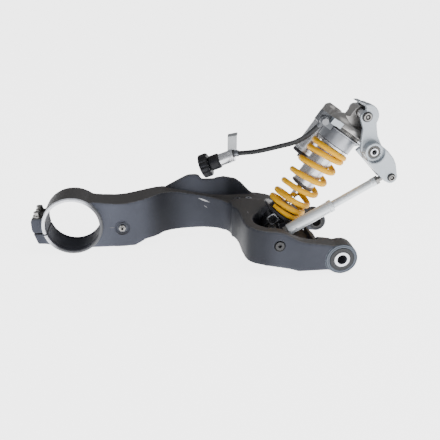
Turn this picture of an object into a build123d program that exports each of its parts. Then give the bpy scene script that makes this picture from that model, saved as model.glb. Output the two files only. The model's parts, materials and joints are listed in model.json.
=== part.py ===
from build123d import *
from math import cos, hypot, pi, radians, sin, tan
import os

# Rear suspension of a motorcycle: a single-sided swingarm with its shock absorber, rocker, tie rod
# and hydraulic preload adjuster. Millimetres. The origin is on the swingarm pivot axis, halfway
# between the outer faces of the pivot lugs. +X points to the front of the motorcycle, +Y to its
# left, which is the side of the hub and the chain, and +Z up.

os.makedirs("parts", exist_ok=True)

# ---- driving dimensions ------------------------------------------------------------------------
FLOOR = -32.0  # what the arm stands on

HUB_X, HUB_Z = -534.7, 30.8  # axis of the hub clamp
HUB_BORE_R, HUB_R = 56.0, 62.8
HUB_NEAR, HUB_FAR = 38.0, 110.0

PIVOT_HALF = 114.0  # half the width over the pivot lugs
NEAR_LUG_R, NEAR_LUG_IN = 32.0, -76.0
FAR_LUG_R, FAR_LUG_IN = 21.4, 69.0
AXLE_R = 10.0  # bore of the pivot sleeves

FOOT_X, FOOT_Z = -126.0, 36.0  # common lower bolt of the shock and the tie rod
HEAD_X, HEAD_Z = 39.5, 271.4  # upper eye of the shock
SHOCK_Y = -16.0
ROD_Y = -70.0
ROD_TOP_X, ROD_TOP_Z = 90.3, 158.9  # upper eye of the tie rod
ROCKER_X, ROCKER_Z = 53.9, 207.6  # pivot of the rocker on the frame

BOX_FACE = -112.0  # outer side of the arm's box
ARM_FACE = 45.0  # inner side of the arm beside the hub

FOOT_BOLT_R = 6.0
HEAD_BOLT_R = 6.0
ROD_BOLT_R = 4.0
RUNNING = 0.05  # radial clearance of a bush on its bolt
APART = 0.3  # gap between parts that move past each other

SPRING_R, WIRE_R = 34.5, 5.5
SPRING_LOW, SPRING_HIGH = 45.6, 198.4  # wire centres of the end coils, along the shock
SPRING_TURNS = 7.5
ROD_R = 7.5  # damper rod
TUBE_R, TUBE_BORE = 22.5, 19.0
CYLINDER_R, CYLINDER_BORE = 36.0, 33.6

RESERVOIR_X, RESERVOIR_Y, RESERVOIR_R = -17.5, 62.0, 20.0  # beside the shock's axis

HOSE_R = 5.0
KNOB_X, KNOB_Y, KNOB_Z = -247.0, 106.0, 132.0  # preload knob
ADJUSTER_AIM = (-176.8, 90.0, 161.9)  # a point on its axis, beyond the barrel
BODY_END, BARREL_END = 34.0, 66.0
HOSE = [
    (-44.8, -38.0, 250.1),
    (-58.1, -30.4, 233.0),
    (-69.0, -15.0, 218.5),
    (-80.5, 6.0, 205.0),
    (-99.0, 34.0, 191.5),
    (-124.0, 60.0, 177.0),
    (-150.0, 80.5, 165.5),
    (-176.8, 90.0, 161.9),
]


# ---- helpers -----------------------------------------------------------------------------------
def frame_along(start, end):
    """A frame at start with +Z along the line to end and local Y along the row's Y."""
    way = Vector(*end) - Vector(*start)
    side = Vector(0, 1, 0).cross(way)
    return Location(Plane(origin=start, x_dir=side, z_dir=way))


SHOCK = frame_along((FOOT_X, SHOCK_Y, FOOT_Z), (HEAD_X, SHOCK_Y, HEAD_Z))
ROD = frame_along((FOOT_X, ROD_Y, FOOT_Z), (ROD_TOP_X, ROD_Y, ROD_TOP_Z))
ROD_LENGTH = hypot(ROD_TOP_X - FOOT_X, ROD_TOP_Z - FOOT_Z)
ADJUSTER = frame_along((KNOB_X, KNOB_Y, KNOB_Z), ADJUSTER_AIM)


def disc(frame, radius, low, high, bore=0.0, x=0.0, y=0.0):
    """A round piece along the frame's Z, from low to high, with an optional bore."""
    place = frame * Pos(x, y, (low + high) / 2)
    piece = Cylinder(radius, high - low)
    if bore:
        piece -= Cylinder(bore, high - low + 2)
    return place * piece


def disc_y(x, z, radius, low, high, bore=0.0):
    """A round piece along the row's Y, from low to high."""
    return disc(Pos(x, 0, z) * Rot(-90, 0, 0), radius, low, high, bore)


def disc_up(x, y, radius, low, high, bore=0.0):
    """A round piece along the row's Z, from low to high."""
    return disc(Pos(x, y, 0), radius, low, high, bore)


def hexagon(frame, flats, low, high, bore=0.0, x=0.0, y=0.0):
    """A hexagonal piece along the frame's Z, flats across its flats."""
    outline = RegularPolygon(flats / 2 / cos(radians(30)), 6)
    piece = extrude(outline, high - low)
    if bore:
        piece -= Pos(0, 0, (high - low) / 2) * Cylinder(bore, high - low + 2)
    return frame * Pos(x, y, low) * piece


def hexagon_y(x, z, flats, low, high, bore=0.0):
    return hexagon(Pos(x, 0, z) * Rot(-90, 0, 0), flats, low, high, bore)


def prism_y(edges, low, high):
    """An outline in X and Z, given as edges of (x, z) points, stretched along Y."""
    wires = [kind([(x, low, z) for x, z in points]) for kind, points in edges]
    return extrude(make_face(wires), high - low, dir=(0, 1, 0))


def prism_z(edges, low, high):
    """An outline in X and Y, given as edges of (x, y) points, stretched along Z."""
    wires = [kind([(x, y, low) for x, y in points]) for kind, points in edges]
    return extrude(make_face(wires), high - low, dir=(0, 0, 1))


def corner_prism_y(points, low, high):
    return prism_y([(Polyline, points + points[:1])], low, high)


def block(low, high):
    """A box from its lowest to its highest corner."""
    size = [b - a for a, b in zip(low, high)]
    middle = [(a + b) / 2 for a, b in zip(low, high)]
    return Pos(*middle) * Box(*size)


# ---- swingarm ----------------------------------------------------------------------------------
ARM_TOP = [(-520, 86), (-470, 79), (-425, 76.5), (-385, 81), (-345, 84), (-300, 77)]
ARM_TOP += [(-220, 62), (-150, 60), (-112, 55), (-70, 40), (-8, 20)]
ARM_BOTTOM = [(-8, -20), (-110, -17), (-200, -8), (-240, -11), (-345, -10), (-362, -13)]
ARM_BOTTOM += [(-384, -13), (-407, -24), (-520, -24), (-520, 86)]
ARM_INSIDE = [(-520, ARM_FACE), (-470, ARM_FACE), (-410, ARM_FACE), (-370, 58), (-335, 82)]
ARM_INSIDE += [(-290, 92.5), (-245, 91), (-215, 74), (-200, 30)]
ARM_FRONT = [(-200, 30), (-190, 0), (-60, 0), (-44, 14), (-50, 48), (-34, FAR_LUG_IN)]
ARM_FRONT += [(-8, FAR_LUG_IN), (-8, PIVOT_HALF)]
ARM_OUTSIDE = [(-8, PIVOT_HALF), (-60, 117), (-150, 125), (-250, 127), (-340, 122), (-430, 106)]
ARM_OUTSIDE += [(-520, 102)]

BOX_TOP = [(-200, 65), (-180, 70.5), (-160, 69), (-117, 62), (-87, 45), (-60, 38), (-12, 30)]
BOX_BOTTOM = [(-12, 30), (-12, -24), (-83, -24), (-104, -17), (-144, -8), (-163, -5)]
BOX_BOTTOM += [(-200, -5), (-200, 65)]
BOX_CORNER = [(-200, 30), (-192, 4), (-190, -23), (-188, -68), (-181, -92), (-163, -107)]
BOX_CORNER += [(-140, BOX_FACE)]
BOX_REST = [(-140, BOX_FACE), (-12, BOX_FACE), (-12, NEAR_LUG_IN), (-24, -72), (-33, -58)]
BOX_REST += [(-34, -20), (-44, 14), (-50, 62), (-200, 62), (-200, 30)]

WELL_END = [(-141, 10), (-157, -22), (-170, -57), (-161, -81), (-140, -90)]
WELL_REST = [(-140, -90), (-50, -90), (-46, -86), (-46, 24), (-50, 28), (-120, 28), (-141, 10)]
WELL_NEAR, WELL_FAR = -90.0, 28.0  # faces of the well beside the lower eyes
WELL_FLOOR = 6.0
FRONT_STEP = [(-78, 46), (-47, 22), (-20, 12), (-20, 70), (-78, 70)]

FLANGE_NEAR, FLANGE_FAR = 102.0, 110.0
FLANGE_RISE = [(-350, 80), (-331, 91), (-309, 102.5), (-289, 112), (-276, 114), (-262, 110.5)]
FLANGE_TOP = [(-262, 110.5), (-257, 102), (-226.5, 101.5), (-225, 104.5), (-208, 106)]
FLANGE_TOP += [(-182, 100.5), (-170, 91.5), (-150, 70), (-134, 57), (-112, 49), (-112, 36)]
FLANGE_TOP += [(-350, 60), (-350, 80)]

PINCH = [(-580, 50), (-614, 50), (-620, 44), (-620, 24), (-610, -9), (-580, -12)]
PINCH_NEAR, PINCH_FAR = 46.0, 104.0
PINCH_X, PINCH_YS = -606.0, (57.0, 91.0)
PINCH_TOP = 50.0
SLOT_LOW, SLOT_HIGH = 13.7, 17.2

GUIDE_X, GUIDE_Z = -432.0, 21.0  # hose guide stud on the inner side
GUIDE_STUD_R, GUIDE_THREAD_R = 4.0, 2.6
CHAIN_LUGS = (-96.0, -64.0)  # chain guide lugs under the arm
CHAIN_LUG_Y = 88.0
DECK_BOSSES = ((-182.0, 66.0), (-158.0, 66.0))
RECESS_FLOOR = -103.0  # seat of the lower bolt's head
NUT_SEAT = 46.0  # and of its nut


def swingarm_casting():
    arm = prism_y([(Spline, ARM_TOP), (Polyline, ARM_TOP[-1:] + ARM_BOTTOM)], 30, 130)
    arm &= prism_z(
        [(Spline, ARM_INSIDE), (Polyline, ARM_FRONT), (Spline, ARM_OUTSIDE)]
        + [(Polyline, [ARM_OUTSIDE[-1], ARM_INSIDE[0]])],
        -60,
        140,
    )
    box = prism_y([(Spline, BOX_TOP), (Polyline, BOX_BOTTOM)], BOX_FACE, 62)
    box &= prism_z([(Spline, BOX_CORNER), (Polyline, BOX_REST)], -60, 140)
    box -= corner_prism_y(FRONT_STEP, NEAR_LUG_IN + 2, 62)
    body = arm + box
    body += prism_y([(Spline, FLANGE_RISE), (Polyline, FLANGE_TOP)], FLANGE_NEAR, FLANGE_FAR)
    body += disc_y(HUB_X, HUB_Z, HUB_R, HUB_NEAR, HUB_FAR)
    body += corner_prism_y(PINCH, PINCH_NEAR, PINCH_FAR)
    body += disc_y(0, 0, NEAR_LUG_R, -PIVOT_HALF + 1, NEAR_LUG_IN)
    body += disc_y(0, 0, FAR_LUG_R, FAR_LUG_IN, PIVOT_HALF - 1)
    for x in CHAIN_LUGS:
        body += disc_up(x, CHAIN_LUG_Y, 10, FLOOR, 0)
    for x, y in DECK_BOSSES:
        body += disc_up(x, y, 7, 50, 68)
    cuts = prism_z([(Spline, WELL_END), (Polyline, WELL_REST)], WELL_FLOOR, 120)
    cuts += disc_y(HUB_X, HUB_Z, HUB_BORE_R, HUB_NEAR - 5, HUB_FAR + 5)
    cuts += block((-640, HUB_NEAR - 5, SLOT_LOW), (HUB_X - 20, HUB_FAR + 5, SLOT_HIGH))
    for y in PINCH_YS:
        cuts += disc_up(PINCH_X, y, 4.3, -30, 60)
    cuts += disc_y(0, 0, NEAR_BEARING_R, -PIVOT_HALF - 5, NEAR_LUG_IN + 5)
    cuts += disc_y(0, 0, FAR_BEARING_R, FAR_LUG_IN - 5, PIVOT_HALF + 5)
    cuts += disc_y(FOOT_X, FOOT_Z, FOOT_BOLT_R + 0.1, BOX_FACE - 5, 60)
    cuts += disc_y(FOOT_X, FOOT_Z, 10.5, BOX_FACE - 5, RECESS_FLOOR)
    cuts += disc_y(FOOT_X, FOOT_Z, 12, -10, WELL_FAR)
    cuts += disc_y(GUIDE_X, GUIDE_Z, 13.5, ARM_FACE - 5, ARM_FACE + 3)
    cuts += disc_y(GUIDE_X, GUIDE_Z, GUIDE_STUD_R + RUNNING, ARM_FACE - 5, ARM_FACE + 30)
    for x in CHAIN_LUGS:
        cuts += disc_up(x, CHAIN_LUG_Y, 4, FLOOR - 5, FLOOR + 16)
    for x, y in DECK_BOSSES:
        cuts += disc_up(x, y, 3, 56, 75)
    cuts += pockets()
    return body - cuts


def pockets():
    """Lightening pockets between the ribs of the outer side."""
    ribs = [(-395, -352), (-342, -300), (-290, -248), (-238, -196)]
    pocket = Part()
    for left, right in ribs:
        pocket += block((left, 106, 2), (right, 140, 54))
    pocket += block((-184, NUT_SEAT, 2), (-76, 140, 34))
    return pocket + disc_y(FOOT_X, FOOT_Z, 14, NUT_SEAT, 140)


def pivot_bearing(radius, bore, outer, inner):
    """A bearing ring pressed into a pivot lug, a little short of both its faces."""
    low, high = sorted((outer, inner))
    return disc_y(0, 0, radius, low, high, bore)


NEAR_BEARING_R, NEAR_SLEEVE_R = 24.5, 15.5
FAR_BEARING_R, FAR_SLEEVE_R = 17.0, 12.5


def pinch_bolts():
    bolts = Part()
    for y in PINCH_YS:
        bolts += disc_up(PINCH_X, y, 4.0, -8, PINCH_TOP + 3)
        bolts += disc_up(PINCH_X, y, 8.5, PINCH_TOP + 1.6, PINCH_TOP + 3.6)
        bolts += hexagon(Pos(PINCH_X, y, 0), 12, PINCH_TOP + 3.6, PINCH_TOP + 11)
    return bolts


def pinch_washers():
    washers = Part()
    for y in PINCH_YS:
        washers += disc_up(PINCH_X, y, 9.0, PINCH_TOP, PINCH_TOP + 1.6, 4.3)
    return washers


def foot_bolt():
    """The common lower bolt: socket head in the near wall, nut in the outer pocket."""
    bolt = disc_y(FOOT_X, FOOT_Z, FOOT_BOLT_R, RECESS_FLOOR - 1, 58)
    bolt += disc_y(FOOT_X, FOOT_Z, 8.8, RECESS_FLOOR - 10, RECESS_FLOOR)
    return bolt - hexagon_y(FOOT_X, FOOT_Z, 7, RECESS_FLOOR - 12, RECESS_FLOOR - 5)


def ball(x, y, z, radius, width, bore):
    """A rod end's ball, flat on both sides, with its bore along Y."""
    sphere = Pos(x, y, z) * Sphere(radius)
    return sphere & disc_y(x, z, radius + 1, y - width / 2, y + width / 2, bore)


# ---- shock absorber ----------------------------------------------------------------------------
EYE_HALF = 15.0  # half the width of the shock's eyes
EYE_SIDES = (SHOCK_Y - EYE_HALF - 1.5, SHOCK_Y + EYE_HALF + 1.5)  # faces of their spacers
FOOT_EYE_R, HEAD_EYE_R = 17.0, 14.0
FOOT_BUSH_R, HEAD_BUSH_R = 11.0, 9.0
SEAT_LOW, SEAT_TOP, SEAT_R = 33.0, 40.0, 40.5
REBOUND_X, REBOUND_S = -17.0, 22.0
GLAND_LOW, TUBE_LOW, TUBE_HIGH = 106.0, 112.0, 240.0
CYLINDER_LOW, CYLINDER_HIGH = 210.0, 238.0
PISTON_LOW, PISTON_HIGH = 204.0, 226.0
HEAD_LOW, LOBE_TOP = 245.0, 270.0
KNOB_POCKET = 262.0  # floor of the recess for the compression knob
RESERVOIR_LOW, RESERVOIR_HIGH = 158.0, 247.0
DOME = [(38.3, 245), (38.3, 251), (35.5, 258), (29, 264.5), (21, 269.5), (13, 272), (0, 273)]
BANJO_X, BANJO_S, BANJO_Y = -56.0, 236.0, -27.0
INLET_NEAR = -22.0  # face of the inlet that the banjo eye is clamped to


def lower_clevis():
    piece = disc_y(FOOT_X, FOOT_Z, FOOT_EYE_R, SHOCK_Y - EYE_HALF, SHOCK_Y + EYE_HALF)
    piece += disc(SHOCK, 15, 0, 27)
    piece += disc(SHOCK, 20, 22, SEAT_LOW)
    knob_side = SHOCK * Pos(REBOUND_X, 0, REBOUND_S) * Rot(-90, 0, 0)
    piece += disc(knob_side, 10.5, -24, 0)
    piece -= disc_y(FOOT_X, FOOT_Z, FOOT_BUSH_R, SHOCK_Y - 30, SHOCK_Y + 30)
    return piece - disc(SHOCK, ROD_R, 28, 40)


def eye_bush(x, z, radius, bolt):
    low, high = SHOCK_Y - EYE_HALF - 0.5, SHOCK_Y + EYE_HALF + 0.5
    return disc_y(x, z, radius, low, high, bolt + RUNNING)


def rebound_knob():
    side = SHOCK * Pos(REBOUND_X, 0, REBOUND_S) * Rot(-90, 0, 0)
    knob = disc(side, 8.5, -31, -24 - APART)
    return knob - hexagon(side, 8, -33, -27)


def lower_seat():
    seat = disc(SHOCK, SEAT_R, SEAT_LOW, SEAT_TOP, ROD_R)
    return seat + disc(SHOCK, 28, SEAT_TOP, SEAT_TOP + 7, 24)


def coil_spring():
    rise = SPRING_HIGH - SPRING_LOW
    path = Helix(rise / SPRING_TURNS, rise, SPRING_R)
    section = Plane(origin=path @ 0, z_dir=path % 0) * Circle(WIRE_R)
    return SHOCK * Pos(0, 0, SPRING_LOW) * sweep(section, path=path)


def gland():
    """The tube's lower end, which guides and seals the damper rod."""
    piece = disc(SHOCK, TUBE_R + 1, GLAND_LOW, TUBE_LOW, ROD_R + 0.08)
    return piece + disc(SHOCK, TUBE_BORE - 0.05, TUBE_LOW, TUBE_LOW + 10, ROD_R + 0.08)


def preload_cylinder():
    piece = disc(SHOCK, CYLINDER_R, CYLINDER_LOW, CYLINDER_HIGH, CYLINDER_BORE)
    return piece + disc(SHOCK, CYLINDER_R, CYLINDER_HIGH - 5, CYLINDER_HIGH, TUBE_R)


def preload_piston():
    return disc(SHOCK, CYLINDER_BORE - APART, PISTON_LOW, PISTON_HIGH, TUBE_R + APART)


def head_casting():
    """Dome, eye and the lobe that carries the reservoir."""
    rim = [(0, DOME[0][1]), DOME[0], DOME[1]]
    profile = make_face(
        [
            Polyline([(r, 0, s) for r, s in rim]),
            Spline([(r, 0, s) for r, s in DOME[1:]]),
            Line((0, 0, DOME[-1][1]), (0, 0, DOME[0][1])),
        ]
    )
    body = SHOCK * revolve(profile, Axis.Z)
    body += SHOCK * Pos(0, 0, 272) * Box(2 * HEAD_EYE_R, 2 * EYE_HALF, 30)
    body += disc_y(HEAD_X, HEAD_Z, HEAD_EYE_R, SHOCK_Y - EYE_HALF, SHOCK_Y + EYE_HALF)
    way = Vector(RESERVOIR_X, RESERVOIR_Y, 0)
    turn = way.get_signed_angle(Vector(0, 1, 0), Vector(0, 0, 1))
    bridge = Rot(0, 0, -turn) * Pos(0, way.length / 2, 0) * Box(26, way.length, 16)
    body += SHOCK * Pos(0, 0, 255) * bridge
    body += disc(SHOCK, RESERVOIR_R + 1, HEAD_LOW, LOBE_TOP - 7, 0, RESERVOIR_X, RESERVOIR_Y)
    body += SHOCK * Pos(RESERVOIR_X, RESERVOIR_Y, LOBE_TOP - 3.5) * Cone(RESERVOIR_R + 1, 15, 7)
    body -= disc(SHOCK, 9, KNOB_POCKET, LOBE_TOP + 1, 0, RESERVOIR_X, RESERVOIR_Y)
    body -= disc(SHOCK, TUBE_R, 230, 247)
    body -= disc(SHOCK, RESERVOIR_R, 230, RESERVOIR_HIGH, 0, RESERVOIR_X, RESERVOIR_Y)
    return body - disc_y(HEAD_X, HEAD_Z, HEAD_BUSH_R, SHOCK_Y - 30, SHOCK_Y + 30)


def inlet_block():
    """The oil inlet on the side of the preload cylinder."""
    body = SHOCK * block((-66, INLET_NEAR, 228), (-30, -3, 251))
    return body - disc(SHOCK, DOME[0][0], 220, 260) - banjo()


BANJO_SIDE = SHOCK * Pos(BANJO_X, 0, BANJO_S) * Rot(-90, 0, 0)
BANJO_NEAR = INLET_NEAR - 10


def banjo():
    """Banjo eye of the hose, with the neck that the hose leaves by."""
    eye = disc(BANJO_SIDE, 9, BANJO_NEAR, INLET_NEAR)
    middle = (SHOCK * Pos(BANJO_X, BANJO_Y, BANJO_S)).position
    neck = frame_along(HOSE[0], tuple(middle))
    reach = (Vector(*HOSE[0]) - middle).length
    return eye + disc(neck, 5.5, 0, reach - 6)


def banjo_bolt():
    return hexagon(BANJO_SIDE, 12, BANJO_NEAR - 6, BANJO_NEAR)


def retainer_block():
    """The clip that holds the preload cylinder against the head."""
    body = SHOCK * block((-46.4, -38, 239.5), (-35, -24, 251.5))
    body += SHOCK * block((-36, -35.5, 240.5), (-22, -28, 252.5))
    return body - disc(SHOCK, DOME[0][0], 225, 270)


# ---- tie rod -----------------------------------------------------------------------------------
ROD_END_R, BALL_R, BALL_WIDTH, ROD_END_HALF = 13.0, 9.5, 14.0, 5.5
SHANK_R = 5.4
TIE_LOW, TIE_STEP, TIE_HIGH = 28.0, 126.0, 222.0


def rod_end(x, z, shank_start, shank_end):
    """A spherical rod end: housing round the ball, and a shank into the tie rod."""
    piece = disc_y(x, z, ROD_END_R, ROD_Y - ROD_END_HALF, ROD_Y + ROD_END_HALF)
    piece += disc(ROD, SHANK_R, shank_start, shank_end)
    return piece - Pos(x, ROD_Y, z) * Sphere(BALL_R + APART)


def tie_rod_tube():
    piece = disc(ROD, 11.5, TIE_LOW, TIE_STEP - 2, SHANK_R)
    piece += hexagon(ROD, 25, TIE_STEP - 6, TIE_STEP + 2, SHANK_R)
    return piece - disc(ROD * Pos(0, 0, 44) * Rot(-90, 0, 0), 2, -20, 20)


def tie_rod_shaft():
    shaft = disc(ROD, 7.8, TIE_STEP + 2, TIE_HIGH)
    shaft += disc(ROD, SHANK_R - 0.05, 90, TIE_STEP + 3)
    return shaft - disc(ROD, SHANK_R, TIE_HIGH - 20, TIE_HIGH + 1)


# ---- rocker ------------------------------------------------------------------------------------
PLATE_NEAR = (SHOCK_Y - 49, SHOCK_Y - 40)
PLATE_FAR = (SHOCK_Y + 35, SHOCK_Y + 45)
EAR_FAR = (SHOCK_Y + 17.5, SHOCK_Y + 26.5)
BOSS_R, BOSS_NEAR, BOSS_FAR = 17.5, -82.0, 42.0
FORK_NEAR, FORK_FAR = (ROD_Y - 19, ROD_Y - 10), (ROD_Y + 10, ROD_Y + 19)
PLATE = [(27, 276), (27, 268), (34, 249), (33, 229), (33.5, 205), (44, 188), (68, 190), (76, 212)]
PLATE += [(64.5, 234), (61.5, 248), (58, 268)]
WEB = [(57, 262), (61.3, 248), (64, 234), (76, 214), (80, 208), (70, 186), (44, 203)]
WEB += [(57, 224), (53.5, 243)]
LEG = [(44, 203), (40, 192), (59, 170), (79.5, 149.5), (101.5, 164), (97, 184), (91, 196)]
LEG += [(80, 209), (66, 221), (58, 224)]
RIDGE = [(26, 205), (43, 187), (61, 167), (75, 152), (80, 152), (60, 185), (44, 203), (34, 212)]
FAR_OUTLINE = [(57, 262), (46, 250), (33, 229), (33.5, 205), (44, 188), (68, 190), (76, 212)]
FAR_OUTLINE += [(64.5, 234), (61.5, 248)]
EAR_LINK = [(39.5, 282), (52, 286), (62, 262), (61.3, 248), (57, 252), (46, 262)]
EAR_R = 11.5
CROWN_SWEEP = (-62, 100)  # degrees round the head eye
CROWN = [(23.5, PLATE_NEAR[0], -45), (22, -45, -22), (19.5, -22, EAR_FAR[1])]
ROCKER_BEARING_R, ROCKER_SLEEVE_R, ROCKER_BORE = 12.0, 7.6, 5.0
ROD_ROOM, ROD_ROOM_LONG = 18.0, 70.0  # room round the rod end and along the rod between the forks
ROD_ROOM_SWEEP = (160.0, 232.0)
OPEN_BALL_BORE = 6.2  # the linkage is open at this pivot, so its ball clears the bolt


def sector(x, z, inner, outer, start, end, low, high):
    """Part of a ring round an axis along Y, from start to end degrees."""
    steps = 12
    angles = [radians(start + (end - start) * i / steps) for i in range(steps + 1)]
    outside = [(x + outer * cos(a), z + outer * sin(a)) for a in angles]
    inside = [(x + inner * cos(a), z + inner * sin(a)) for a in reversed(angles)]
    return corner_prism_y(outside + inside, low, high)


def rocker_casting():
    body = corner_prism_y(PLATE, *PLATE_NEAR)
    body += corner_prism_y(FAR_OUTLINE, *PLATE_FAR)
    body += corner_prism_y(EAR_LINK, *EAR_FAR)
    for low, high in (PLATE_NEAR, EAR_FAR):
        body += disc_y(HEAD_X, HEAD_Z, EAR_R, low, high)
    body += sector(HEAD_X, HEAD_Z, 1, 18.5, *CROWN_SWEEP, *PLATE_NEAR)
    for outer, low, high in CROWN:
        body += sector(HEAD_X, HEAD_Z, 16.5, outer, *CROWN_SWEEP, low, high)
    body += corner_prism_y(WEB, PLATE_NEAR[1], PLATE_FAR[0])
    body += corner_prism_y(LEG, FORK_NEAR[0], FORK_FAR[1])
    body += corner_prism_y(RIDGE, *FORK_FAR)
    body += disc_y(ROD_TOP_X, ROD_TOP_Z, 12.5, FORK_NEAR[0], FORK_FAR[1])
    body += disc_y(ROCKER_X, ROCKER_Z, BOSS_R, BOSS_NEAR, PLATE_NEAR[1])
    body += disc_y(ROCKER_X, ROCKER_Z, BOSS_R, PLATE_FAR[0], BOSS_FAR)
    slot_low, slot_high = FORK_NEAR[1], FORK_FAR[0]
    body -= disc_y(ROD_TOP_X, ROD_TOP_Z, ROD_ROOM, slot_low, slot_high)
    body -= sector(ROD_TOP_X, ROD_TOP_Z, 1, ROD_ROOM_LONG, *ROD_ROOM_SWEEP, slot_low, slot_high)
    body -= disc_y(ROCKER_X, ROCKER_Z, BOSS_R + 1, FORK_NEAR[0] - 5, BOSS_NEAR)
    body -= disc_y(ROCKER_X, ROCKER_Z, ROCKER_BEARING_R, BOSS_NEAR - 5, BOSS_NEAR + 16)
    body -= disc_y(ROCKER_X, ROCKER_Z, ROCKER_BEARING_R, BOSS_FAR - 16, BOSS_FAR + 5)
    body -= disc_y(ROCKER_X, ROCKER_Z, ROCKER_SLEEVE_R + 1, BOSS_NEAR - 5, BOSS_FAR + 5)
    body -= disc_y(HEAD_X, HEAD_Z, HEAD_BOLT_R, -100, 60)
    return body - disc_y(ROD_TOP_X, ROD_TOP_Z, ROD_BOLT_R, -100, 0)


def cap_bolt(x, z, radius, head_r, seat, end, socket):
    """A bolt along Y with a socket head on the near side."""
    head = seat - 5
    bolt = disc_y(x, z, radius, seat - 1, end)
    bolt += disc_y(x, z, head_r, head, seat)
    return bolt - hexagon_y(x, z, socket, head - 1, head + 3.5)


# ---- preload adjuster --------------------------------------------------------------------------
KNOB_LOW, KNOB_HIGH = -10.0, 10.0
TAB_X, TAB_Y, TAB_Z = -191.0, 94.0, 201.0
TAB_TURN, TAB_SLOPE = -12.8, 10.5
TAB_SHEET, TAB_DEPTH = 2.5, 17.0


def adjuster_knob():
    """Hand wheel with finger notches round its rim."""
    wheel = disc(ADJUSTER, 26, KNOB_LOW, KNOB_HIGH)
    notches = 16
    for i in range(notches):
        turn = Rot(0, 0, i * 360 / notches)
        wheel -= ADJUSTER * turn * Pos(27.3, 0, 0) * Cylinder(2.6, 30)
    return wheel - disc(ADJUSTER, 9, KNOB_LOW - 1, KNOB_LOW + 3)


def adjuster_barrel():
    """Oil cylinder of the adjuster, its hose fitting and its bracket."""
    barrel = disc(ADJUSTER, 13.5, BODY_END, BARREL_END)
    hose_end, before = Vector(*HOSE[-1]), Vector(*HOSE[-2])
    ferrule = frame_along(HOSE[-1], tuple(hose_end + (hose_end - before)))
    barrel += disc(ferrule, 7, APART, 20)
    barrel += adjuster_tab()
    return barrel - disc(ADJUSTER, 10.3, BODY_END + 2, BARREL_END - 6)


def adjuster_tab():
    """Bent sheet bracket on top of the barrel, with its screw hole."""
    foot = Pos(TAB_X, TAB_Y, 0) * Rot(0, 0, TAB_TURN)
    sheet = foot * block((-10, 0, 158), (10, TAB_SHEET, TAB_Z))
    top = foot * Pos(0, 0, TAB_Z) * Rot(0, -TAB_SLOPE, 0)
    sheet += top * block((-10.2, 0, -TAB_SHEET), (10.2, TAB_DEPTH, 0))
    return sheet - disc(top * Pos(0, 9.5, 0), 3, -TAB_SHEET - 3, 3)


def hose_tube():
    """The hose, as straight runs joined by tangent arcs as large as the runs allow."""
    points = [Vector(*p) for p in HOSE]
    runs = [(b - a).length for a, b in zip(points, points[1:])]
    radii = []
    for i in range(1, len(points) - 1):
        turn = radians((points[i] - points[i - 1]).get_angle(points[i + 1] - points[i]))
        radii.append(0.45 * min(runs[i - 1], runs[i]) / tan(turn / 2))
    print("hose arc radii", [round(r) for r in radii])
    path = FilletPolyline(*points, radius=radii)
    print("hose length", round(path.length, 1))
    section = Plane(origin=points[0], z_dir=points[1] - points[0]) * Circle(HOSE_R)
    return sweep(section, path=path)


# ---- nodes -------------------------------------------------------------------------------------
BALL_NEAR, BALL_FAR = ROD_Y - BALL_WIDTH / 2, ROD_Y + BALL_WIDTH / 2


def foot_spacer(low, high):
    return disc_y(FOOT_X, FOOT_Z, 9, low, high, FOOT_BOLT_R + RUNNING)


def head_spacer(low, high):
    return disc_y(HEAD_X, HEAD_Z, 9, low, high, HEAD_BOLT_R + RUNNING)


def rocker_bearing(low):
    """A needle bearing pressed into the rocker's boss."""
    return disc_y(ROCKER_X, ROCKER_Z, ROCKER_BEARING_R, low, low + 14, ROCKER_SLEEVE_R + 0.3)


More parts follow.
